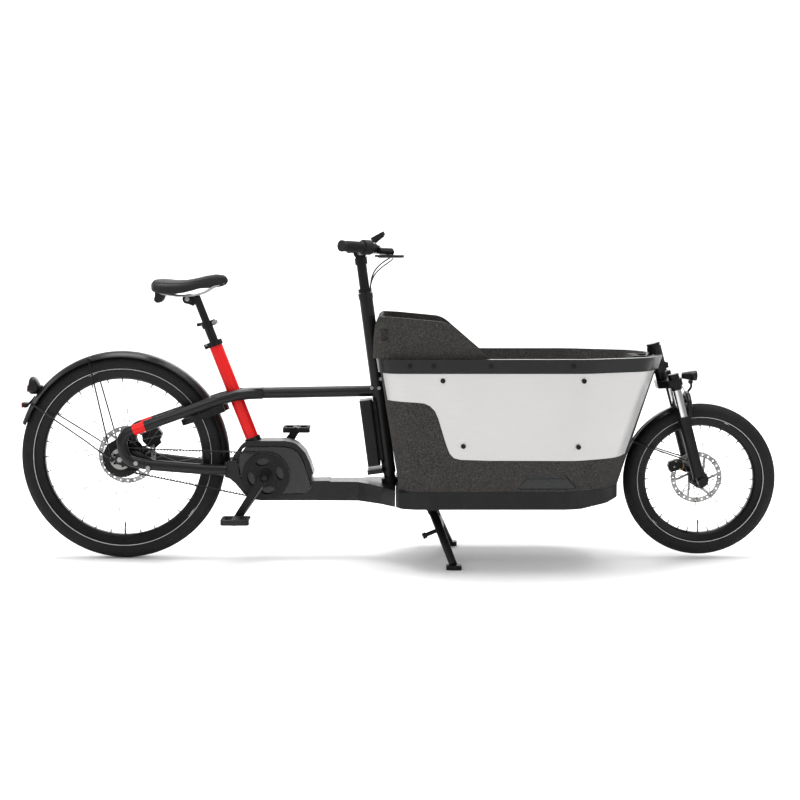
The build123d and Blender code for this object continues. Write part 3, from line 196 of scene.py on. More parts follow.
GOLD = surface("gold_anodised", (0.75, 0.42, 0.10), 0.28, metal=1.0, var=0.1, bscale=900, bstr=0.06)


def foam_material():
    m, nt, bsdf, co = new_mat("speckled_foam")
    cells = voronoi(nt, co, 430, "F1", "Distance")
    cell_col = voronoi(nt, co, 430, "F1", "Color")
    sep = nt.nodes.new("ShaderNodeSeparateColor")
    nt.links.new(cell_col, sep.inputs[0])
    fine = noise(nt, co, 620, 3, 0.6)
    wide = noise(nt, co, 9, 3, 0.5)
    c0 = ramp(nt, sep.outputs[0], [(0.0, (0.020, 0.019, 0.018)), (0.50, (0.038, 0.036, 0.034)), (0.85, (0.058, 0.055, 0.052)), (1.0, (0.088, 0.084, 0.080))])
    c1 = mixc(nt, rng(nt, fine, 0.0, 0.55, 0.45, 0.70), c0, (0.016, 0.015, 0.0145))
    c2 = mixc(nt, rng(nt, wide, 0.0, 0.30, 0.4, 0.7), c1, (0.050, 0.047, 0.044))
    nt.links.new(c2, bsdf.inputs["Base Color"])
    nt.links.new(rng(nt, fine, 0.68, 0.9, 0.2, 0.8), bsdf.inputs["Roughness"])
    edge = voronoi(nt, co, 430, "DISTANCE_TO_EDGE", "Distance")
    n1 = bump(nt, rng(nt, edge, 0, 1, 0.0, 0.10), 0.45, 0.0007)
    nt.links.new(bump(nt, fine, 0.25, 0.0005, n1), bsdf.inputs["Normal"])
    bsdf.inputs["Specular IOR Level"].default_value = 0.15
    return m


def panel_material():
    m, nt, bsdf, co = new_mat("satin_aluminium_panel")
    grain = noise(nt, mapping(nt, co, (14, 14, 900)), 1.0, 5, 0.6)
    wide = noise(nt, co, 3.0, 3, 0.5)
    col = ramp(nt, grain, [(0.25, (0.500, 0.494, 0.490)), (0.75, (0.570, 0.563, 0.558))])
    col = mixc(nt, rng(nt, wide, 0.0, 0.35, 0.35, 0.7), col, (0.46, 0.452, 0.447))
    nt.links.new(col, bsdf.inputs["Base Color"])
    bsdf.inputs["Metallic"].default_value = 0.35
    nt.links.new(rng(nt, grain, 0.34, 0.46, 0.3, 0.7), bsdf.inputs["Roughness"])
    nt.links.new(bump(nt, grain, 0.05, 0.0003), bsdf.inputs["Normal"])
    return m


def stays_material():
    """Black powder coat with a red band round each upper stay."""
    m, nt, bsdf, co = new_mat("stays_black_red")
    sep = nt.nodes.new("ShaderNodeSeparateXYZ")
    nt.links.new(co, sep.inputs[0])
    x, z = sep.outputs[0], sep.outputs[2]
    t = mth(nt, "ADD", mth(nt, "MULTIPLY", x, 0.943), mth(nt, "MULTIPLY", z, 0.331))
    inside = mth(nt, "MULTIPLY", mth(nt, "GREATER_THAN", t, -0.7035), mth(nt, "LESS_THAN", t, -0.6620))
    mask = mth(nt, "MULTIPLY", inside, mth(nt, "GREATER_THAN", z, 0.40))
    n1 = noise(nt, co, 14, 6, 0.6)
    dark = ramp(nt, n1, [(0.3, (0.005, 0.005, 0.0055)), (0.7, (0.0075, 0.0075, 0.008))])
    red = ramp(nt, n1, [(0.3, (0.64, 0.004, 0.005)), (0.7, (0.69, 0.005, 0.006))])
    nt.links.new(mixc(nt, mask, dark, red), bsdf.inputs["Base Color"])
    nt.links.new(rng(nt, noise(nt, co, 80, 5), 0.29, 0.43, 0.25, 0.75), bsdf.inputs["Roughness"])
    nt.links.new(bump(nt, noise(nt, co, 900, 3), 0.14, 0.0004), bsdf.inputs["Normal"])
    bsdf.inputs["Coat Weight"].default_value = 0.10
    bsdf.inputs["Coat Roughness"].default_value = 0.2
    bsdf.inputs["Specular IOR Level"].default_value = 0.22
    return m


def leather_material():
    m, nt, bsdf, co = new_mat("saddle_cover")
    cells = voronoi(nt, co, 900, "DISTANCE_TO_EDGE", "Distance")
    n1 = noise(nt, co, 30, 6, 0.6)
    nt.links.new(ramp(nt, n1, [(0.3, (0.006, 0.006, 0.006)), (0.7, (0.010, 0.010, 0.010))]), bsdf.inputs["Base Color"])
    nt.links.new(rng(nt, n1, 0.46, 0.62, 0.3, 0.7), bsdf.inputs["Roughness"])
    nt.links.new(bump(nt, rng(nt, cells, 0, 1, 0, 0.12), 0.35, 0.0004), bsdf.inputs["Normal"])
    bsdf.inputs["Sheen Weight"].default_value = 0.05
    bsdf.inputs["Specular IOR Level"].default_value = 0.25
    return m


def lens_material():
    m, nt, bsdf, co = new_mat("lamp_lens")
    v = voronoi(nt, co, 260, "F1", "Distance")
    nt.links.new(ramp(nt, v, [(0.1, (0.80, 0.82, 0.85)), (0.8, (0.55, 0.57, 0.60))]), bsdf.inputs["Base Color"])
    nt.links.new(rng(nt, v, 0.04, 0.14), bsdf.inputs["Roughness"])
    nt.links.new(bump(nt, v, 0.4, 0.001), bsdf.inputs["Normal"])
    bsdf.inputs["Coat Weight"].default_value = 1.0
    bsdf.inputs["Coat Roughness"].default_value = 0.02
    return m


FOAM, PANEL, STAYS, LEATHER, LENS = foam_material(), panel_material(), stays_material(), leather_material(), lens_material()

LOOK = {
    "main_frame": BLACK, "motor_unit": MOTOR, "motor_covers": GLOSS, "top_tube": BLACK, "rear_stays": STAYS, "seat_tube": RED,
    "post_sleeve": PART, "steering_tube": BLACK, "battery": BATT, "front_frame": BLACK, "base_tray": TRAY, "box_tub": FOAM,
    "step_inserts": GLOSS, "box_backrest": FOAM, "side_panels": PANEL, "rim_rail": FENDER, "box_screws": SCREW, "bench_seat": FOAM,
    "rear_fender": FENDER, "rear_lamp": FENDER, "ring_lock": PART, "rear_caliper": PART, "belt": RUBBER, "frame_hardware": STEEL,
    "rear_rim": RIM, "rear_spokes": SPOKE, "rear_hub": PART, "rear_rotor": STEEL, "rear_sprocket": STEEL, "crankset": PART,
    "front_pulley": PART, "pedal_right": PEDAL, "pedal_left": PEDAL, "stem": PART, "handlebar": PART, "display": GLOSS,
    "brake_bodies": PART, "brake_hoses": HOSE, "brake_lever_right": PART, "brake_lever_left": PART, "fork_crown": PART,
    "stanchions": CHROME, "fork_lowers": PART, "headlight": FENDER, "front_fender": FENDER, "front_caliper": PART,
    "front_rim": RIM, "front_spokes": SPOKE, "front_hub": PART, "front_rotor": STEEL, "stand_legs": PART, "seatpost": PART,
    "saddle": LEATHER, "saddle_rails": STEEL, "qr_lever": PART, "shifter": RUBBER, "grips": RUBBER, "rear_tyre": TYRE, "front_tyre": TYRE,
}
for name, o in N.items():
    m = LOOK[name]
    o.data.materials.clear()
    o.data.materials.append(m)


# ---------------------------------------------------------------- mesh builder
def frame_of(axis):
    w = Vector(axis).normalized()
    u = w.cross(Vector((0, 0, 1)))
    if u.length < 1e-3:
        u = w.cross(Vector((1, 0, 0)))
    u.normalize()
    return u, w.cross(u), w


class Build:
    """Collects closed surfaces in metres, in the row frame, into one mesh."""

    def __init__(self):
        self.v, self.f, self.m, self.s = [], [], [], []

    def face(self, ids, mat, smooth):
        self.f.append(ids); self.m.append(mat); self.s.append(smooth)

    def grid(self, rings, closed_u=True, closed_v=True, mat=0, smooth=True, matf=None, smoothf=None, cap=False):
        """rings: list of lists of points; consecutive rings are joined."""
        b = len(self.v)
        n, k = len(rings), len(rings[0])
        for r in rings:
            self.v.extend(tuple(p) for p in r)
        for i in range(n if closed_u else n - 1):
            for j in range(k if closed_v else k - 1):
                i2, j2 = (i + 1) % n, (j + 1) % k
                self.face((b + i * k + j, b + i * k + j2, b + i2 * k + j2, b + i2 * k + j),
                          matf(i, j) if matf else mat, smoothf(i, j) if smoothf else smooth)
        if cap:
            self.face(tuple(b + j for j in range(k))[::-1], mat, False)
            self.face(tuple(b + (n - 1) * k + j for j in range(k)), mat, False)

    def lathe(self, profile, origin, axis, seg=32, mod=None, mat=0, smooth=True, cap=True):
        """profile: (radius, height) along the axis, both ends on or off the axis."""
        u, v, w = frame_of(axis)
        o = Vector(origin)
        rings = []
        for i, (r, h) in enumerate(profile):
            ring = []
            for j in range(seg):
                t = 2 * math.pi * j / seg
                rr = r * (mod(i, t) if mod else 1.0)
                ring.append(o + u * (rr * math.cos(t)) + v * (rr * math.sin(t)) + w * h)
            rings.append(ring)
        self.grid(rings, closed_u=False, mat=mat, smooth=smooth, cap=cap)

    def tube(self, pts, r, seg=12, mat=0):
        pts = [Vector(p) for p in pts]
        rings, u = [], None
        for i, p in enumerate(pts):
            d = (pts[min(i + 1, len(pts) - 1)] - pts[max(i - 1, 0)]).normalized()
            if u is None:
                u = frame_of(d)[0]
            u = (u - d * u.dot(d)).normalized()
            v = d.cross(u)
            rings.append([p + u * (r * math.cos(2 * math.pi * j / seg)) + v * (r * math.sin(2 * math.pi * j / seg)) for j in range(seg)])
        self.grid(rings, closed_u=False, mat=mat, cap=True)

    def bolt(self, origin, axis, r, h, mat=0):
        """A socket head: domed edge and a hexagonal recess."""
        prof = [(r * 0.98, 0), (r, h * 0.15), (r, h * 0.75), (r * 0.86, h), (r * 0.52, h)]
        self.lathe(prof, origin, axis, 24, mat=mat)
        u, v, w = frame_of(axis)
        o = Vector(origin)
        hexr = [[o + u * (r * q * math.cos(a * math.pi / 3)) + v * (r * q * math.sin(a * math.pi / 3)) + w * z for a in range(6)]
                for q, z in ((0.62, h * 1.001), (0.50, h * 1.03), (0.46, h * 1.001), (0.44, h * 0.80))]
        self.grid(hexr, closed_u=False, mat=mat, smooth=False, cap=True)

    def prism(self, outline, o, u, v, w, h0, h1, bev, mat=0, dome=0.0):
        """A rounded plate: outline points (a, b) in plane u, v, from h0 to h1 along w, top edge rounded by bev."""
        o, u, v, w = Vector(o), Vector(u), Vector(v), Vector(w)
        c = (sum(p[0] for p in outline) / len(outline), sum(p[1] for p in outline) / len(outline))
        size = max(max(abs(p[0] - c[0]) for p in outline), max(abs(p[1] - c[1]) for p in outline))
        levels = [(0, h0)] + [(bev * (1 - math.cos(t)), h1 - bev + bev * math.sin(t)) for t in (0, 0.4, 0.8, 1.2, 1.57)]
        if dome:
            levels += [(size * q, h1 + dome * (1 - (1 - q) ** 2)) for q in (0.2, 0.45, 0.7, 0.92)]
        rings = []
        for ins, z in levels:
            k = 1 - ins / size
            rings.append([o + u * (c[0] + (p[0] - c[0]) * k) + v * (c[1] + (p[1] - c[1]) * k) + w * z for p in outline])
        self.grid(rings, closed_u=False, mat=mat, cap=True)

    def make(self, name, body, mats, slot=None, replaces=(), auto=None):
        me = bpy.data.meshes.new(name)
        me.from_pydata(self.v, [], self.f)
        for p, m, s in zip(me.polygons, self.m, self.s):
            p.material_index, p.use_smooth = m, s
        for m in mats:
            me.materials.append(m)
        me.update()
        o = bpy.data.objects.new(name, me)
        bpy.context.scene.collection.objects.link(o)
        import bmesh
        bm = bmesh.new(); bm.from_mesh(me)
        bmesh.ops.recalc_face_normals(bm, faces=bm.faces)
        if auto is not None:
            for e in bm.edges:
                e.smooth = not (len(e.link_faces) == 2 and e.calc_face_angle(0) > auto)
        bm.to_mesh(me); bm.free()
        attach(o, body)
        if replaces:
            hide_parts(*replaces)
        return o


def rrect(w, h, r, n=6):
    pts = []
    for cx, cy, a0 in ((w / 2 - r, h / 2 - r, 0), (-w / 2 + r, h / 2 - r, 90), (-w / 2 + r, -h / 2 + r, 180), (w / 2 - r, -h / 2 + r, 270)):
        for i in range(n + 1):
            a = math.radians(a0 + 90 * i / n)
            pts.append((cx + r * math.cos(a), cy + r * math.sin(a)))
    return pts


# ---------------------------------------------------------------- tyres
def tyre_piece(name, body, node, axle, r_out, pitches):
    c = r_out - 0.031
    phis = [-130, -126, -122, -118.5, -113, -104, -94, -84, -74, -66, -60, -56] + [p for p in range(-52, 53, 4)] + [56, 60, 66, 74, 84, 94, 104, 113, 118.5, 122, 126, 130]
    inner = list(range(128, -129, -16))
    seg_per = 5
    segs = pitches * seg_per
    rings = []
    for i in range(segs):
        th = 2 * math.pi * i / segs
        ph_t = (i % seg_per) / seg_per
        ring = []
        for p in phis:
            a = abs(p)
            rr = 0.0309
            if a <= 52:
                rr = 0.0310
                k = (i + int(a / 8) + (2 if p < 0 else 0)) % seg_per
                if 10 <= a <= 12:
                    rr -= 0.0015
                elif 26 <= a <= 28:
                    rr -= 0.0013
                elif a > 12 and k == 0:
                    rr -= 0.0017
                elif a < 10 and i % (2 * seg_per) == 0 and a >= 4:
                    rr -= 0.0010
            elif a < 62:
                rr = 0.0309 if (i % (seg_per * 2)) < seg_per else 0.0303
            elif a > 112:
                rr = 0.0303
            if 118 <= a <= 122:
                rr = 0.0307
            q = math.radians(p)
            r = c + rr * math.cos(q)
            y = rr * math.sin(q)
            ring.append((axle[0] + r * math.cos(th), y, axle[1] + r * math.sin(th)))
        for p in inner:
            q = math.radians(p)
            r = c + 0.0272 * math.cos(q)
            ring.append((axle[0] + r * math.cos(th), 0.0272 * math.sin(q), axle[1] + r * math.sin(th)))
        rings.append(ring)
    b = Build()

    def matf(i, j):
        if j < len(phis) - 1:
            a = (phis[j] + phis[j + 1]) / 2
            return 1 if 118.5 < abs(a) < 122 else 0
        return 0

    def smf(i, j):
        return not (j < len(phis) - 1 and abs((phis[j] + phis[j + 1]) / 2) < 64)

    b.grid(rings, matf=matf, smoothf=smf)
    return b.make(name, body, [TYRE, STRIPE], "tyre_rubber", (node,))


tyre_piece("rear_tyre_treaded", "rear_wheel", "rear_tyre", REAR, 0.355, 186)
tyre_piece("front_tyre_treaded", "front_wheel", "front_tyre", FRONT, 0.265, 139)


# ---------------------------------------------------------------- nipples and valves
def wheel_trim(name, body, axle, n, r_hub, r_rim, flange_y, swing):
    b = Build()
    for i in range(n):
        a = 2 * math.pi * i / n
        s = 1 if i % 2 else -1
        g = a + math.radians(swing) * (1 if (i // 2) % 2 else -1)
        w = 0.002 if (i // 2) % 2 else -0.002
        hub = Vector((axle[0] + r_hub * math.cos(g), s * (flange_y + w), axle[1] + r_hub * math.sin(g)))
        end = Vector((axle[0] + r_rim * math.cos(a), s * (0.005 + w / 2), axle[1] + r_rim * math.sin(a)))
        d = (hub - end).normalized()
        b.lathe([(0.0026, -0.001), (0.0026, 0.002), (0.0019, 0.0035), (0.0018, 0.011), (0.0013, 0.0125)], end, d, 12)
        b.lathe([(0.0017, -0.003), (0.0021, -0.0018), (0.0021, 0.0012), (0.0014, 0.003)], hub, d, 10)
    z = axle[1] - r_rim
    b.lathe([(0.0032, -0.002), (0.0032, 0.003), (0.0026, 0.0035), (0.0026, 0.026), (0.0032, 0.0265), (0.0032, 0.040), (0.0022, 0.042), (0.0010, 0.0425)],
            (axle[0], 0, z), (0, 0, 1), 16)
    return b.make(name, body, [SPOKE], "spoke_steel", auto=math.radians(40))


wheel_trim("rear_nipples_valve", "rear_wheel", REAR, 32, 0.062, 0.273, 0.036, 38)
wheel_trim("front_nipples_valve", "front_wheel", FRONT, 32, 0.024, 0.188, 0.026, 62)

# rotor bolts
b = Build()
for k in range(6):
    a = math.radians(60 * k + 12)
    b.bolt((REAR[0] + 0.0245 * math.cos(a), 0.0582, REAR[1] + 0.0245 * math.sin(a)), (0, 1, 0), 0.0042, 0.0022)
b.make("rear_rotor_bolts", "rear_wheel", [SCREW], "screw_black", auto=math.radians(35))
b = Build()
for k in range(6):
    a = math.radians(60 * k + 12)
    b.bolt((FRONT[0] + 0.0205 * math.cos(a), 0.0422, FRONT[1] + 0.0205 * math.sin(a)), (0, 1, 0), 0.0042, 0.0022)
b.make("front_rotor_bolts", "front_wheel", [SCREW], "screw_black", auto=math.radians(35))


# ---------------------------------------------------------------- belt teeth on the free runs
def belt_teeth():
    b = Build()
    r1, r2 = 0.0385, 0.0805
    A, B = np.array(REAR), np.array(BB)
    d = B - A
    L = np.linalg.norm(d)
    base = math.atan2(d[1], d[0])
    off = math.acos((r1 - r2) / L)
    for sgn in (1, -1):
        a = base + sgn * off
        nrm = np.array([math.cos(a), math.sin(a)])
        p, q = A + nrm * r1, B + nrm * r2
        t = (q - p) / np.linalg.norm(q - p)
        length = np.linalg.norm(q - p)
        k = int(length / 0.011)
        for i in range(k):
            c = p + t * (0.006 + i * 0.011) - nrm * 0.0015
            prof = [(-0.0030, 0.0), (-0.0022, -0.0028), (0.0022, -0.0028), (0.0030, 0.0)]
            rings = []
            for y in (-0.0502, -0.0506, -0.0594, -0.0598):
                ins = 0.8 if y in (-0.0502, -0.0598) else 1.0
                rings.append([(c[0] + t[0] * u * ins + nrm[0] * w * ins, y, c[1] + t[1] * u * ins + nrm[1] * w * ins) for u, w in prof])
            b.grid(rings, closed_u=False, smooth=False, cap=True)
    return b.make("belt_teeth", "frame", [RUBBER], "belt_rubber")


belt_teeth()


# ---------------------------------------------------------------- saddle
def smooth_curve(pts, xs):
    px, py = [p[0] for p in pts], [p[1] for p in pts]
    fine = np.linspace(px[0], px[-1], 400)
    y = np.interp(fine, px, py)
    pad = np.concatenate([np.full(12, y[0]), y, np.full(12, y[-1])])
    k = np.ones(13) / 13
    y = np.convolve(np.convolve(pad, k, "same"), k, "same")[12:-12]
    return np.interp(xs, fine, y)


def saddle_piece():
    top = [(-853, 950), (-846, 966), (-836, 972.0), (-800, 974), (-762, 970), (-724, 971), (-690, 977.5), (-660, 985), (-628, 989.5), (-604, 987), (-594, 983), (-587, 979)]
    bot = [(-853, 936), (-826, 926), (-800, 921), (-760, 921), (-720, 930), (-690, 939), (-650, 941), (-620, 944), (-600, 950), (-587, 956)]
    wid = [(-852, 30), (-846, 60), (-830, 80), (-812, 87), (-790, 82), (-760, 65), (-730, 47), (-700, 34), (-640, 22), (-605, 17.5), (-594, 13), (-588, 7)]
    u = (1 - np.cos(np.linspace(0, math.pi, 46))) / 2
    xs = -852 + u * (852 - 588)
    zt, zb, w = smooth_curve(top, xs), smooth_curve(bot, xs), smooth_curve(wid, xs)
    # round both ends
    e = np.minimum((xs + 852) / 16, (-588 - xs) / 14)
    k = np.sqrt(np.clip(1 - (1 - np.clip(e, 0, 1)) ** 2, 0.012, 1))
    w = w * k
    mid = (zt + zb) / 2
    zt, zb = mid + (zt - mid) * k, mid + (zb - mid) * k
    rings = []
    for x, a, c, h in zip(xs, zt, zb, w):
        ring = []
        H = a - c
        n = 15
        for i in range(n):
            s = -1 + 2 * i / (n - 1)
            drop = 0.46 * H * abs(s) ** 3.6
            groove = 1.6 * math.exp(-(s / 0.16) ** 2) if -800 < x < -640 else 0.0
            ring.append((x / 1000, s * h / 1000, (a - drop - groove) / 1000))
        ring.append((x / 1000, h * 1.0 / 1000, (c + 0.22 * H) / 1000))
        for i in range(0, 12):
            s = 0.96 * (1 - 2 * i / 11)
            lift = 0.30 * H * max(0.0, 1 - abs(s / 0.8) ** 4)
            ring.append((x / 1000, s * h / 1000, (c + lift) / 1000))
        ring.append((x / 1000, -h * 1.0 / 1000, (c + 0.22 * H) / 1000))
        rings.append(ring)
    b = Build()
    b.grid(rings, closed_u=False, cap=True)
    o = b.make("saddle_padded", "seat", [LEATHER], "saddle_cover", ("saddle",))
    sub = o.modifiers.new("sub", "SUBSURF")
    sub.levels = sub.render_levels = 2
    # stitched welt along each edge
    t = Build()
    for s_ in (-1, 1):
        idx = 13 if s_ > 0 else 1
        line = [Vector(r[idx]) + Vector((0, s_ * 0.0002, 0.0002)) for r in rings[3:-3]]
        t.tube(line, 0.0009, 8)
        for i in range(0, len(line) - 1):
            p, q = line[i], line[i + 1]
            m = int(max(1, (q - p).length / 0.0042))
            for j in range(m):
                a0 = p.lerp(q, (j + 0.15) / m); a1 = p.lerp(q, (j + 0.75) / m)
                off = Vector((0, -s_ * 0.0022, 0.0006))
                t.tube([a0 + off, a0.lerp(a1, 0.5) + off + Vector((0, 0, 0.0003)), a1 + off], 0.00035, 6, 1)
    t.make("saddle_welt", "seat", [LEATHER, HOSE], "saddle_cover")
    # shell lugs under the rear of the saddle
    l = Build()
    for s_ in (-1, 1):
        prof = [(-0.840, 0.935), (-0.806, 0.932), (-0.804, 0.915), (-0.814, 0.895), (-0.832, 0.889), (-0.844, 0.900), (-0.838, 0.915)]
        pts = []
        for i in range(len(prof)):
            p0, p1 = prof[i], prof[(i + 1) % len(prof)]
            for f in (0.25, 0.75):
                pts.append((p0[0] * (1 - f) + p1[0] * f, p0[1] * (1 - f) + p1[1] * f))
        l.prism(pts, (0, s_ * 0.006, 0), (1, 0, 0), (0, 0, 1), (0, s_, 0), 0.0, 0.012, 0.002)
    l.make("saddle_lugs", "seat", [PEDAL], "saddle_cover", auto=math.radians(50))


saddle_piece()


# ---------------------------------------------------------------- grips and shifter
def lerp3(a, b, d):
    a, b = Vector(a), Vector(b)
    return a + (b - a).normalized() * d


BEND, GB = (-0.062, 0.203, 1.076), (-0.182, 0.321, 1.082)
GA = lerp3(BEND, GB, 0.059)
g = Build()
for s_, start in ((-1, 0.024), (1, 0.006)):
    a = lerp3(GA, GB, start); e = Vector(GB)
    a = Vector((a.x, s_ * a.y, a.z)); e = Vector((e.x, s_ * e.y, e.z))
    L = (e - a).length
    prof = [(0.0113, 0.0), (0.0176, 0.0), (0.0186, 0.0012), (0.0186, 0.0048), (0.0172, 0.006)]
    k = int((L - 0.016) / 0.0026)
    for i in range(k):
        h = 0.008 + i * 0.0026
        crown = 0.0004 * math.sin(math.pi * i / k)
        prof += [(0.0166 + crown, h), (0.0175 + crown, h + 0.0008), (0.0175 + crown, h + 0.0016), (0.0166 + crown, h + 0.0024)]
    prof += [(0.0174, L - 0.004), (0.0188, L - 0.003), (0.0189, L + 0.002), (0.0178, L + 0.0038), (0.006, L + 0.0039)]
    g.lathe(prof, a, e - a, 48, mod=lambda i, t: 1.0 + (0.006 if int(t / (2 * math.pi) * 48) % 2 else 0) if 5 < i < len(prof) - 5 else 1.0)
g.make("grips_ribbed", "handlebar", [RUBBER], "grip_rubber", ("grips",), auto=math.radians(40))

sh = Build()
a = lerp3(GA, GB, -0.014); e = lerp3(GA, GB, 0.020)
a = Vector((a.x, -a.y, a.z)); e = Vector((e.x, -e.y, e.z))
L = (e - a).length
prof = [(0.0113, 0.0), (0.0220, 0.0), (0.0238, 0.0015), (0.0246, 0.003)] + [(0.0244, 0.0035 + i * (L - 0.007) / 9) for i in range(10)] + [(0.0240, L - 0.002), (0.0222, L), (0.0113, L)]
sh.lathe(prof, a, e - a, 120, mod=lambda i, t: (1.0 + (0.010 if int(t / (2 * math.pi) * 120) % 4 < 2 else -0.020)) if 3 < i < 14 else 1.0)
sh.make("shifter_knurled", "shifter", [RUBBER], "grip_rubber", ("shifter",), auto=math.radians(40))


# ---------------------------------------------------------------- lamps, display, reflectors
h = Build()
h.prism(rrect(0.037, 0.0300, 0.0145, 8), (1.0290, 0, 0.6385), (0, 1, 0), (0, 0, 1), (1, 0, 0), 0.0, 0.0028, 0.0012, dome=0.0022)
h.make("headlight_lens", "fork_lowers", [LENS], "lamp", auto=math.radians(60))

# headlight: finned round body on its bent arm
hl = Build()
prof = [(0.006, -0.003), (0.0125, -0.001), (0.0145, 0.002)]
for i in range(6):
    x0 = 0.004 + i * 0.0042
    rr = 0.0150 + i * 0.0009
    prof += [(rr - 0.0022, x0), (rr, x0 + 0.0006), (rr, x0 + 0.0022), (rr - 0.0022, x0 + 0.0028)]
prof += [(0.0195, 0.031), (0.0212, 0.033), (0.0216, 0.040), (0.0218, 0.0475), (0.0208, 0.0488), (0.0195, 0.0482), (0.0192, 0.046), (0.002, 0.0455)]
rings = []
for rr, x0 in prof:
    rings.append([(0.984 + x0, rr * math.cos(2 * math.pi * j / 40), 0.638 + rr * 0.80 * math.sin(2 * math.pi * j / 40) + (0.0015 if math.sin(2 * math.pi * j / 40) > 0 else 0)) for j in range(40)])
hl.grid(rings, closed_u=False, cap=True)
hl.tube([(1.012, 0, 0.624), (1.013, 0, 0.614), (1.016, 0, 0.604), (1.014, 0, 0.596), (1.008, 0, 0.588), (1.002, 0, 0.578), (1.002, 0, 0.571)], 0.0042, 14)
hl.lathe([(0.0045, -0.009), (0.0075, -0.0085), (0.0078, -0.006), (0.0078, 0.006), (0.0075, 0.0085), (0.0045, 0.009)], (1.0125, 0, 0.617), (0, 1, 0), 20)
hl.bolt((1.0125, -0.009, 0.617), (0, -1, 0), 0.0042, 0.002, 1)
hl.tube([(0.986, 0.004, 0.634), (0.981, 0.006, 0.628), (0.979, 0.007, 0.618), (0.983, 0.006, 0.605), (0.990, 0.005, 0.592), (0.996, 0.004, 0.580), (0.999, 0.003, 0.574)], 0.0014, 8, 2)
hl.make("headlight_body", "fork_lowers", [FENDER, SCREW, HOSE], "lamp", ("headlight",), auto=math.radians(38))

# rear lamp: rounded shell on a foot that follows the mudguard, and the small reflector below
rl = Build()
def blob(cx, cz, pts, half, up, n_lat=9, mat=0, power=2.6):
    """A rounded shell: the outline pts (x, z) is drawn in towards its centre as it nears each side."""
    ctr = Vector((sum(p[0] for p in pts) / len(pts), 0, sum(p[1] for p in pts) / len(pts)))
    rings = []
    for i in range(n_lat):
        a = -math.pi / 2 + math.pi * (i + 0.5) / n_lat
        y = half * math.sin(a)
        k = (1 - abs(math.sin(a)) ** power) ** (1 / power)
        k = 0.35 + 0.65 * k
        rings.append([(ctr.x + (p[0] - ctr.x) * k, y, ctr.z + (p[1] - ctr.z) * k) for p in pts])
    up.grid(rings, closed_u=False, cap=True, mat=mat)
def soften(pts, rounds=3):
    for _ in range(rounds):
        out = []
        for i in range(len(pts)):
            p, q = pts[i], pts[(i + 1) % len(pts)]
            out += [(p[0] * 0.75 + q[0] * 0.25, p[1] * 0.75 + q[1] * 0.25), (p[0] * 0.25 + q[0] * 0.75, p[1] * 0.25 + q[1] * 0.75)]
        pts = out
    return pts
lamp_shell = soften([(-1.2835, 0.576), (-1.2845, 0.606), (-1.2790, 0.634), (-1.2620, 0.637), (-1.2500, 0.618), (-1.2420, 0.598), (-1.2500, 0.580), (-1.2640, 0.573)])
blob(0, 0, lamp_shell, 0.0255, rl)
foot = soften([(-1.2620, 0.596), (-1.2400, 0.607), (-1.2330, 0.604), (-1.2440, 0.586), (-1.2640, 0.568)], 2)
blob(0, 0, foot, 0.011, rl)
reflector = soften([(-1.3050, 0.5265), (-1.3055, 0.547), (-1.2890, 0.5465), (-1.2860, 0.537), (-1.2890, 0.5265)], 2)
blob(0, 0, reflector, 0.0205, rl)
rl.tube([(-1.289, 0, 0.538), (-1.280, 0, 0.545), (-1.272, 0, 0.553), (-1.262, 0, 0.566)], 0.0045, 12)
rl.tube([(-1.2600, 0.006, 0.577), (-1.2540, 0.010, 0.572), (-1.2480, 0.014, 0.577), (-1.2400, 0.016, 0.590)], 0.0013, 8, 1)
rl.make("rear_lamp_body", "frame", [FENDER, HOSE], "lamp", ("rear_lamp",), auto=math.radians(50))

r = Build()
# reflector below the lamp and the lamp's red window, facing back
r.prism(rrect(0.038, 0.019, 0.003, 4), (-1.3045, 0, 0.5365), (0, 1, 0), (0.0, 0, 1.0), (-1.0, 0, 0.0), 0.0, 0.0026, 0.0010)
r.prism(rrect(0.044, 0.024, 0.006, 5), (-1.2825, 0, 0.5950), (0, 1, 0), (0.05, 0, 0.9987), (-0.9987, 0, 0.05), 0.0, 0.0030, 0.0012, dome=0.0008)
r.make("rear_lamp_lenses", "frame", [REDLENS], "lamp", auto=math.radians(60))

d = Build()
c5, s5 = math.cos(0.5), math.sin(0.5)
d.prism(rrect(0.044, 0.058, 0.006, 5), (-0.068 - s5 * 0.0128, 0, 1.112 + c5 * 0.0128), (c5, 0, s5), (0, 1, 0), (-s5, 0, c5), 0.0, 0.0010, 0.0004)
d.make("display_window", "handlebar", [GLOSS], "motor_gloss", auto=math.radians(50))


def pedal_trim(name, body, end, s):
    b = Build()
    y0, y1 = sorted((s * 0.0935, s * 0.184))
    yc = (y0 + y1) / 2
    for k in (-1, 1):
        # reflector windows front and back
        b.prism(rrect(0.052, 0.010, 0.002, 3), (end[0] + k * 0.0478, yc, end[1]), (0, 1, 0), (0, 0, 1), (k, 0, 0), -0.001, 0.0004, 0.0003, mat=1)
        # tread ribs on both faces
        for u in (-0.043, 0.043):
            for j in range(9):
                y = y0 + 0.012 + j * (y1 - y0 - 0.024) / 8
                b.prism(rrect(0.007, 0.0042, 0.001, 2), (end[0] + u, y, end[1]), (1, 0, 0), (0, 1, 0), (0, 0, k), 0.0085, 0.0098, 0.0005)
        for u in (-0.0, ):
            for j in range(9):
                y = y0 + 0.012 + j * (y1 - y0 - 0.024) / 8
                b.prism(rrect(0.012, 0.0042, 0.001, 2), (end[0] + u, y, end[1]), (1, 0, 0), (0, 1, 0), (0, 0, k), 0.0085, 0.0098, 0.0005)
    return b.make(name, body, [PEDAL, AMBER], "pedal_black", auto=math.radians(50))


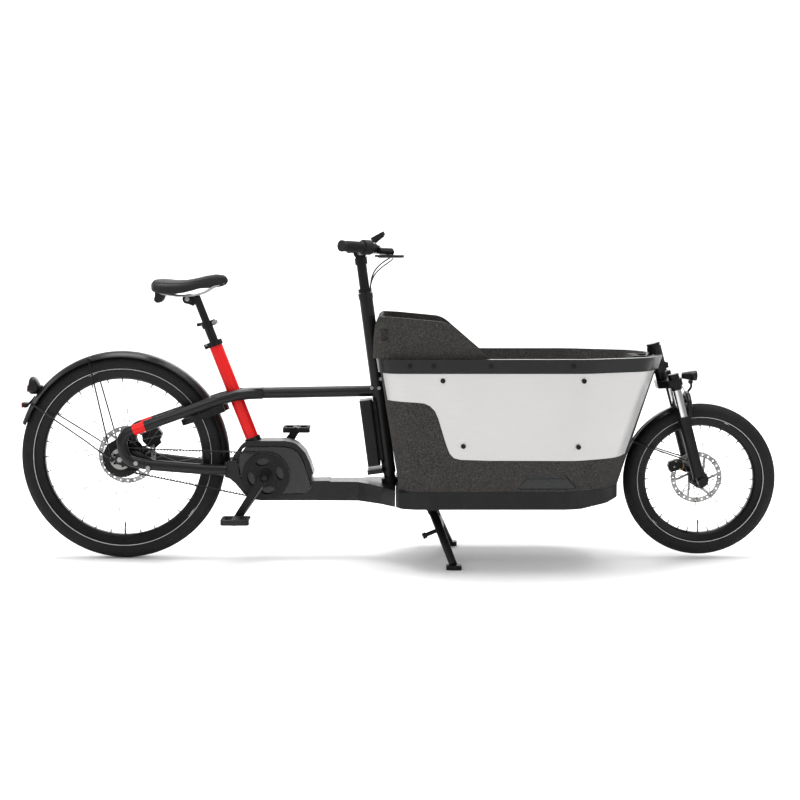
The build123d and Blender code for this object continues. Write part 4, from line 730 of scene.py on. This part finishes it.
ca = math.radians(-124)
PR = (BB[0] + 0.17 * math.cos(ca), BB[1] + 0.17 * math.sin(ca))
PL = (BB[0] - 0.17 * math.cos(ca), BB[1] - 0.17 * math.sin(ca))
pedal_trim("pedal_right_trim", "pedal_right", PR, -1)
pedal_trim("pedal_left_trim", "pedal_left", PL, 1)

# crank bolts and pulley bolts
b = Build()
for s in (-1, 1):
    b.bolt((BB[0], s * 0.0925, BB[1]), (0, s, 0), 0.0115, 0.0035)
for k in range(4):
    a = ca + math.radians(45 + 45 + 90 * k)
    b.bolt((BB[0] + 0.052 * math.cos(a), -0.0638, BB[1] + 0.052 * math.sin(a)), (0, -1, 0), 0.0062, 0.0020)
b.make("crank_bolts", "crank", [SCREW], "screw_black", auto=math.radians(35))

# upper pair of mudguard stays, bolted to the axle ends like the lower pair
us = Build()
for s_ in (-1, 1):
    us.tube([(-0.984, s_ * 0.0790, 0.354), (-0.990, s_ * 0.0765, 0.376), (-1.006, s_ * 0.0690, 0.445), (-1.040, s_ * 0.0530, 0.588), (-1.062, s_ * 0.0425, 0.680), (-1.066, s_ * 0.0385, 0.698)], 0.0026, 14)
    us.lathe([(0.0030, 0.0), (0.0052, 0.0004), (0.0052, 0.0080), (0.0040, 0.0090), (0.0012, 0.0092)], (-1.066, s_ * 0.0330, 0.698), (0, s_, 0), 20)
    us.bolt((-1.066, s_ * 0.0420, 0.698), (0, s_, 0), 0.0040, 0.0022, 1)
    us.bolt((-1.262, s_ * 0.0430, 0.541), (0, s_, 0), 0.0040, 0.0022, 1)
    us.bolt((-0.984, s_ * 0.0810, 0.352), (0, s_, 0), 0.0048, 0.0026, 1)
us.make("rear_stays_upper_wire", "frame", [PART, SCREW], "fender_black", auto=math.radians(40))

# battery dock and the ribs along the battery's faces
bx = Build()
cs, sn = math.cos(math.radians(7.48)), math.sin(math.radians(7.48))
colx = lambda z: -0.0308 - math.tan(math.radians(7.48)) * (z - 0.282)
up, fwd = (-sn, 0, cs), (cs, 0, sn)
z0 = 0.345
bx.prism(rrect(0.030, 0.052, 0.004, 4), (colx(z0) - 0.0262 * cs, 0, z0), fwd, (0, 1, 0), up, 0.0, 0.208, 0.002)
for s_ in (-1, 1):
    for k in (-0.0115, -0.0035, 0.0045):
        bx.prism(rrect(0.0022, 0.190, 0.001, 3), (colx(0.448) - 0.0475 * cs + k * cs, s_ * 0.0446, 0.448 + k * sn - 0.0475 * sn), fwd, up, (0, s_, 0), 0.0, 0.0010, 0.0005)
bx.make("battery_dock", "frame", [BATT], "battery_black", auto=math.radians(45))

# saddle clamp: silver bolt through the round clamp
sc = Build()
for s_ in (-1, 1):
    sc.lathe([(0.0148, 0.0), (0.0155, 0.0006), (0.0155, 0.0026), (0.0142, 0.0034), (0.0090, 0.0034)], (-0.7270, s_ * 0.0200, 0.9040), (0, s_, 0), 32)
    sc.bolt((-0.7270, s_ * 0.0232, 0.9040), (0, s_, 0), 0.0078, 0.0026, 1)
sc.make("saddle_clamp_bolt", "seat", [PART, STEEL], "part_black", auto=math.radians(40))

# raised facings along the crank arms, with a thin steel line along each lower edge as a painted highlight
cf = Build()
for s_, end in ((-1, PR), (1, PL)):
    d2 = Vector((end[0] - BB[0], 0, end[1] - BB[1])).normalized()
    n2 = Vector((-d2.z, 0, d2.x))
    out = []
    for i in range(9):
        a_ = math.radians(-90 + 180 * i / 8)
        out.append((0.148 + 0.0075 * math.cos(a_), 0.0075 * math.sin(a_)))
    for i in range(9):
        a_ = math.radians(90 + 180 * i / 8)
        out.append((0.026 + 0.0105 * math.cos(a_), 0.0105 * math.sin(a_)))
    cf.prism(out, (BB[0], s_ * 0.0890, BB[1]), d2, n2, (0, s_, 0), 0.0, 0.0018, 0.0011)
    cf.lathe([(0.0150, 0.0), (0.0158, 0.0006), (0.0158, 0.0020), (0.0146, 0.0030), (0.0120, 0.0030)], (BB[0], s_ * 0.0900, BB[1]), (0, s_, 0), 36, mat=1)
    # thin steel line along the arm's lower edge: a painted highlight, not a real part of the arm
    cf.tube([Vector((BB[0], s_ * 0.0895, BB[1])) + d2 * 0.030 + n2 * 0.0128, Vector((BB[0], s_ * 0.0895, BB[1])) + d2 * 0.085 + n2 * 0.0118, Vector((BB[0], s_ * 0.0895, BB[1])) + d2 * 0.140 + n2 * 0.0108], 0.0009, 8, 2)
cf.make("crank_facings_painted_highlight", "crank", [PART, SCREW, STEEL], "part_black", auto=math.radians(40))

# gold pad spring and bolts on the front calliper
lo_, hi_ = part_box("front_caliper")
ccx, ccz = (lo_.x + hi_.x) / 2, (lo_.z + hi_.z) / 2
fcp = Build()
fcp.tube([(ccx + 0.012, lo_.y - 0.0004, ccz - 0.018), (ccx + 0.016, lo_.y - 0.0004, ccz - 0.004), (ccx + 0.014, lo_.y - 0.0004, ccz + 0.012)], 0.0014, 10, 0)
for dx, dz in ((-0.016, -0.008), (-0.010, 0.012), (0.004, -0.016)):
    fcp.bolt((ccx + dx, lo_.y + 0.0004, ccz + dz), (0, -1, 0), 0.0036, 0.0016, 1)
fcp.make("front_caliper_trim", "fork_lowers", [GOLD, STEEL], "steel", auto=math.radians(40))

# bolts through the box rail's front bracket, the head and the tray
hb = Build()
hx = lambda z: 0.8785 - math.tan(math.radians(15)) * (z - 0.755)
for z in (0.640, 0.656):
    hb.bolt((hx(z) + 0.0262, 0.0, z), (math.cos(math.radians(15)), 0, math.sin(math.radians(15))), 0.0036, 0.0022, 0)
capz = 0.7575
hb.lathe([(0.0225, 0.0), (0.0238, 0.001), (0.0238, 0.0060), (0.0222, 0.0080), (0.0150, 0.0092), (0.0040, 0.0096)], (hx(0.744), 0, 0.744), (-math.sin(math.radians(15)), 0, math.cos(math.radians(15))), 40, mod=lambda i, t: 1.0 - (0.012 if (1 <= i <= 2 and int(t / (2 * math.pi) * 40) % 5 == 0) else 0.0))
hb.make("head_cap_bolts", "frame", [SCREW], "screw_black", auto=math.radians(40))

# stem faceplate bolts
b = Build()
for y in (-0.014, 0.014):
    for z in (-0.013, 0.013):
        b.bolt((-0.1333 + 0.0205, y, 1.062 + z), (1, 0, 0), 0.0032, 0.0024)
b.make("stem_bolts", "handlebar", [SCREW], "screw_black", auto=math.radians(35))

# ---------------------------------------------------------------- stage
import bmesh
me = bpy.data.meshes.new("floor")
prof = [(-14, 0.0), (5.0, 0.0)] + [(5.0 + 4.0 * math.sin(t), 4.0 - 4.0 * math.cos(t)) for t in np.linspace(0.05, math.pi / 2, 24)] + [(9.0, 14.0)]
vs, fs = [], []
for y, z in prof:
    vs += [(-22, y, z - 0.0004), (22, y, z - 0.0004)]
for i in range(len(prof) - 1):
    fs.append((2 * i, 2 * i + 1, 2 * i + 3, 2 * i + 2))
me.from_pydata(vs, [], fs)
for p in me.polygons:
    p.use_smooth = True
floor = bpy.data.objects.new("floor", me)
bpy.context.scene.collection.objects.link(floor)
fm, nt, bsdf, co = new_mat("floor_pale")
nt.links.new(ramp(nt, noise(nt, co, 1.2, 2), [(0.3, (0.86, 0.86, 0.86)), (0.7, (0.88, 0.88, 0.88))]), bsdf.inputs["Base Color"])
bsdf.inputs["Roughness"].default_value = 0.9
bsdf.inputs["Specular IOR Level"].default_value = 0.1
me.materials.append(fm)


def area(name, loc, target, size, energy, size_y=None, color=(1, 1, 1)):
    l = bpy.data.lights.new(name, "AREA")
    l.shape = "RECTANGLE"
    l.size, l.size_y = size, size_y or size
    l.energy, l.color = energy, color
    o = bpy.data.objects.new(name, l)
    bpy.context.scene.collection.objects.link(o)
    o.location = loc
    o.rotation_mode = "QUATERNION"
    o.rotation_quaternion = (Vector(target) - Vector(loc)).to_track_quat("-Z", "Y")
    o.visible_camera = False
    return o


area("wall", (0, 2.6, 5.6), (0, 9.0, 2.6), 7.0, 620, 2.5)
area("key", (-2.2, -4.2, 4.2), (0, 0, 0.5), 3.0, 105)
area("fill", (3.4, -4.4, 2.2), (0.2, 0, 0.5), 2.2, 34)
area("top", (0, 0.4, 4.6), (0, 0, 0.4), 5.0, 330, 2.6)
area("back", (0.5, 4.2, 3.4), (0, 0, 0.6), 3.0, 110)
area("left_side", (-5.0, 0.5, 2.6), (0, 0, 0.5), 2.0, 34)
area("right_side", (5.2, 0.5, 2.6), (0, 0, 0.5), 2.0, 34)
w = bpy.data.worlds.new("studio")
bpy.context.scene.world = w
w.use_nodes = True
w.node_tree.nodes["Background"].inputs["Color"].default_value = (1, 1, 1, 1)
w.node_tree.nodes["Background"].inputs["Strength"].default_value = 0.42
bpy.context.scene.view_settings.view_transform = "Standard"
bpy.context.scene.view_settings.look = "None"

bpy.context.view_layer.update()
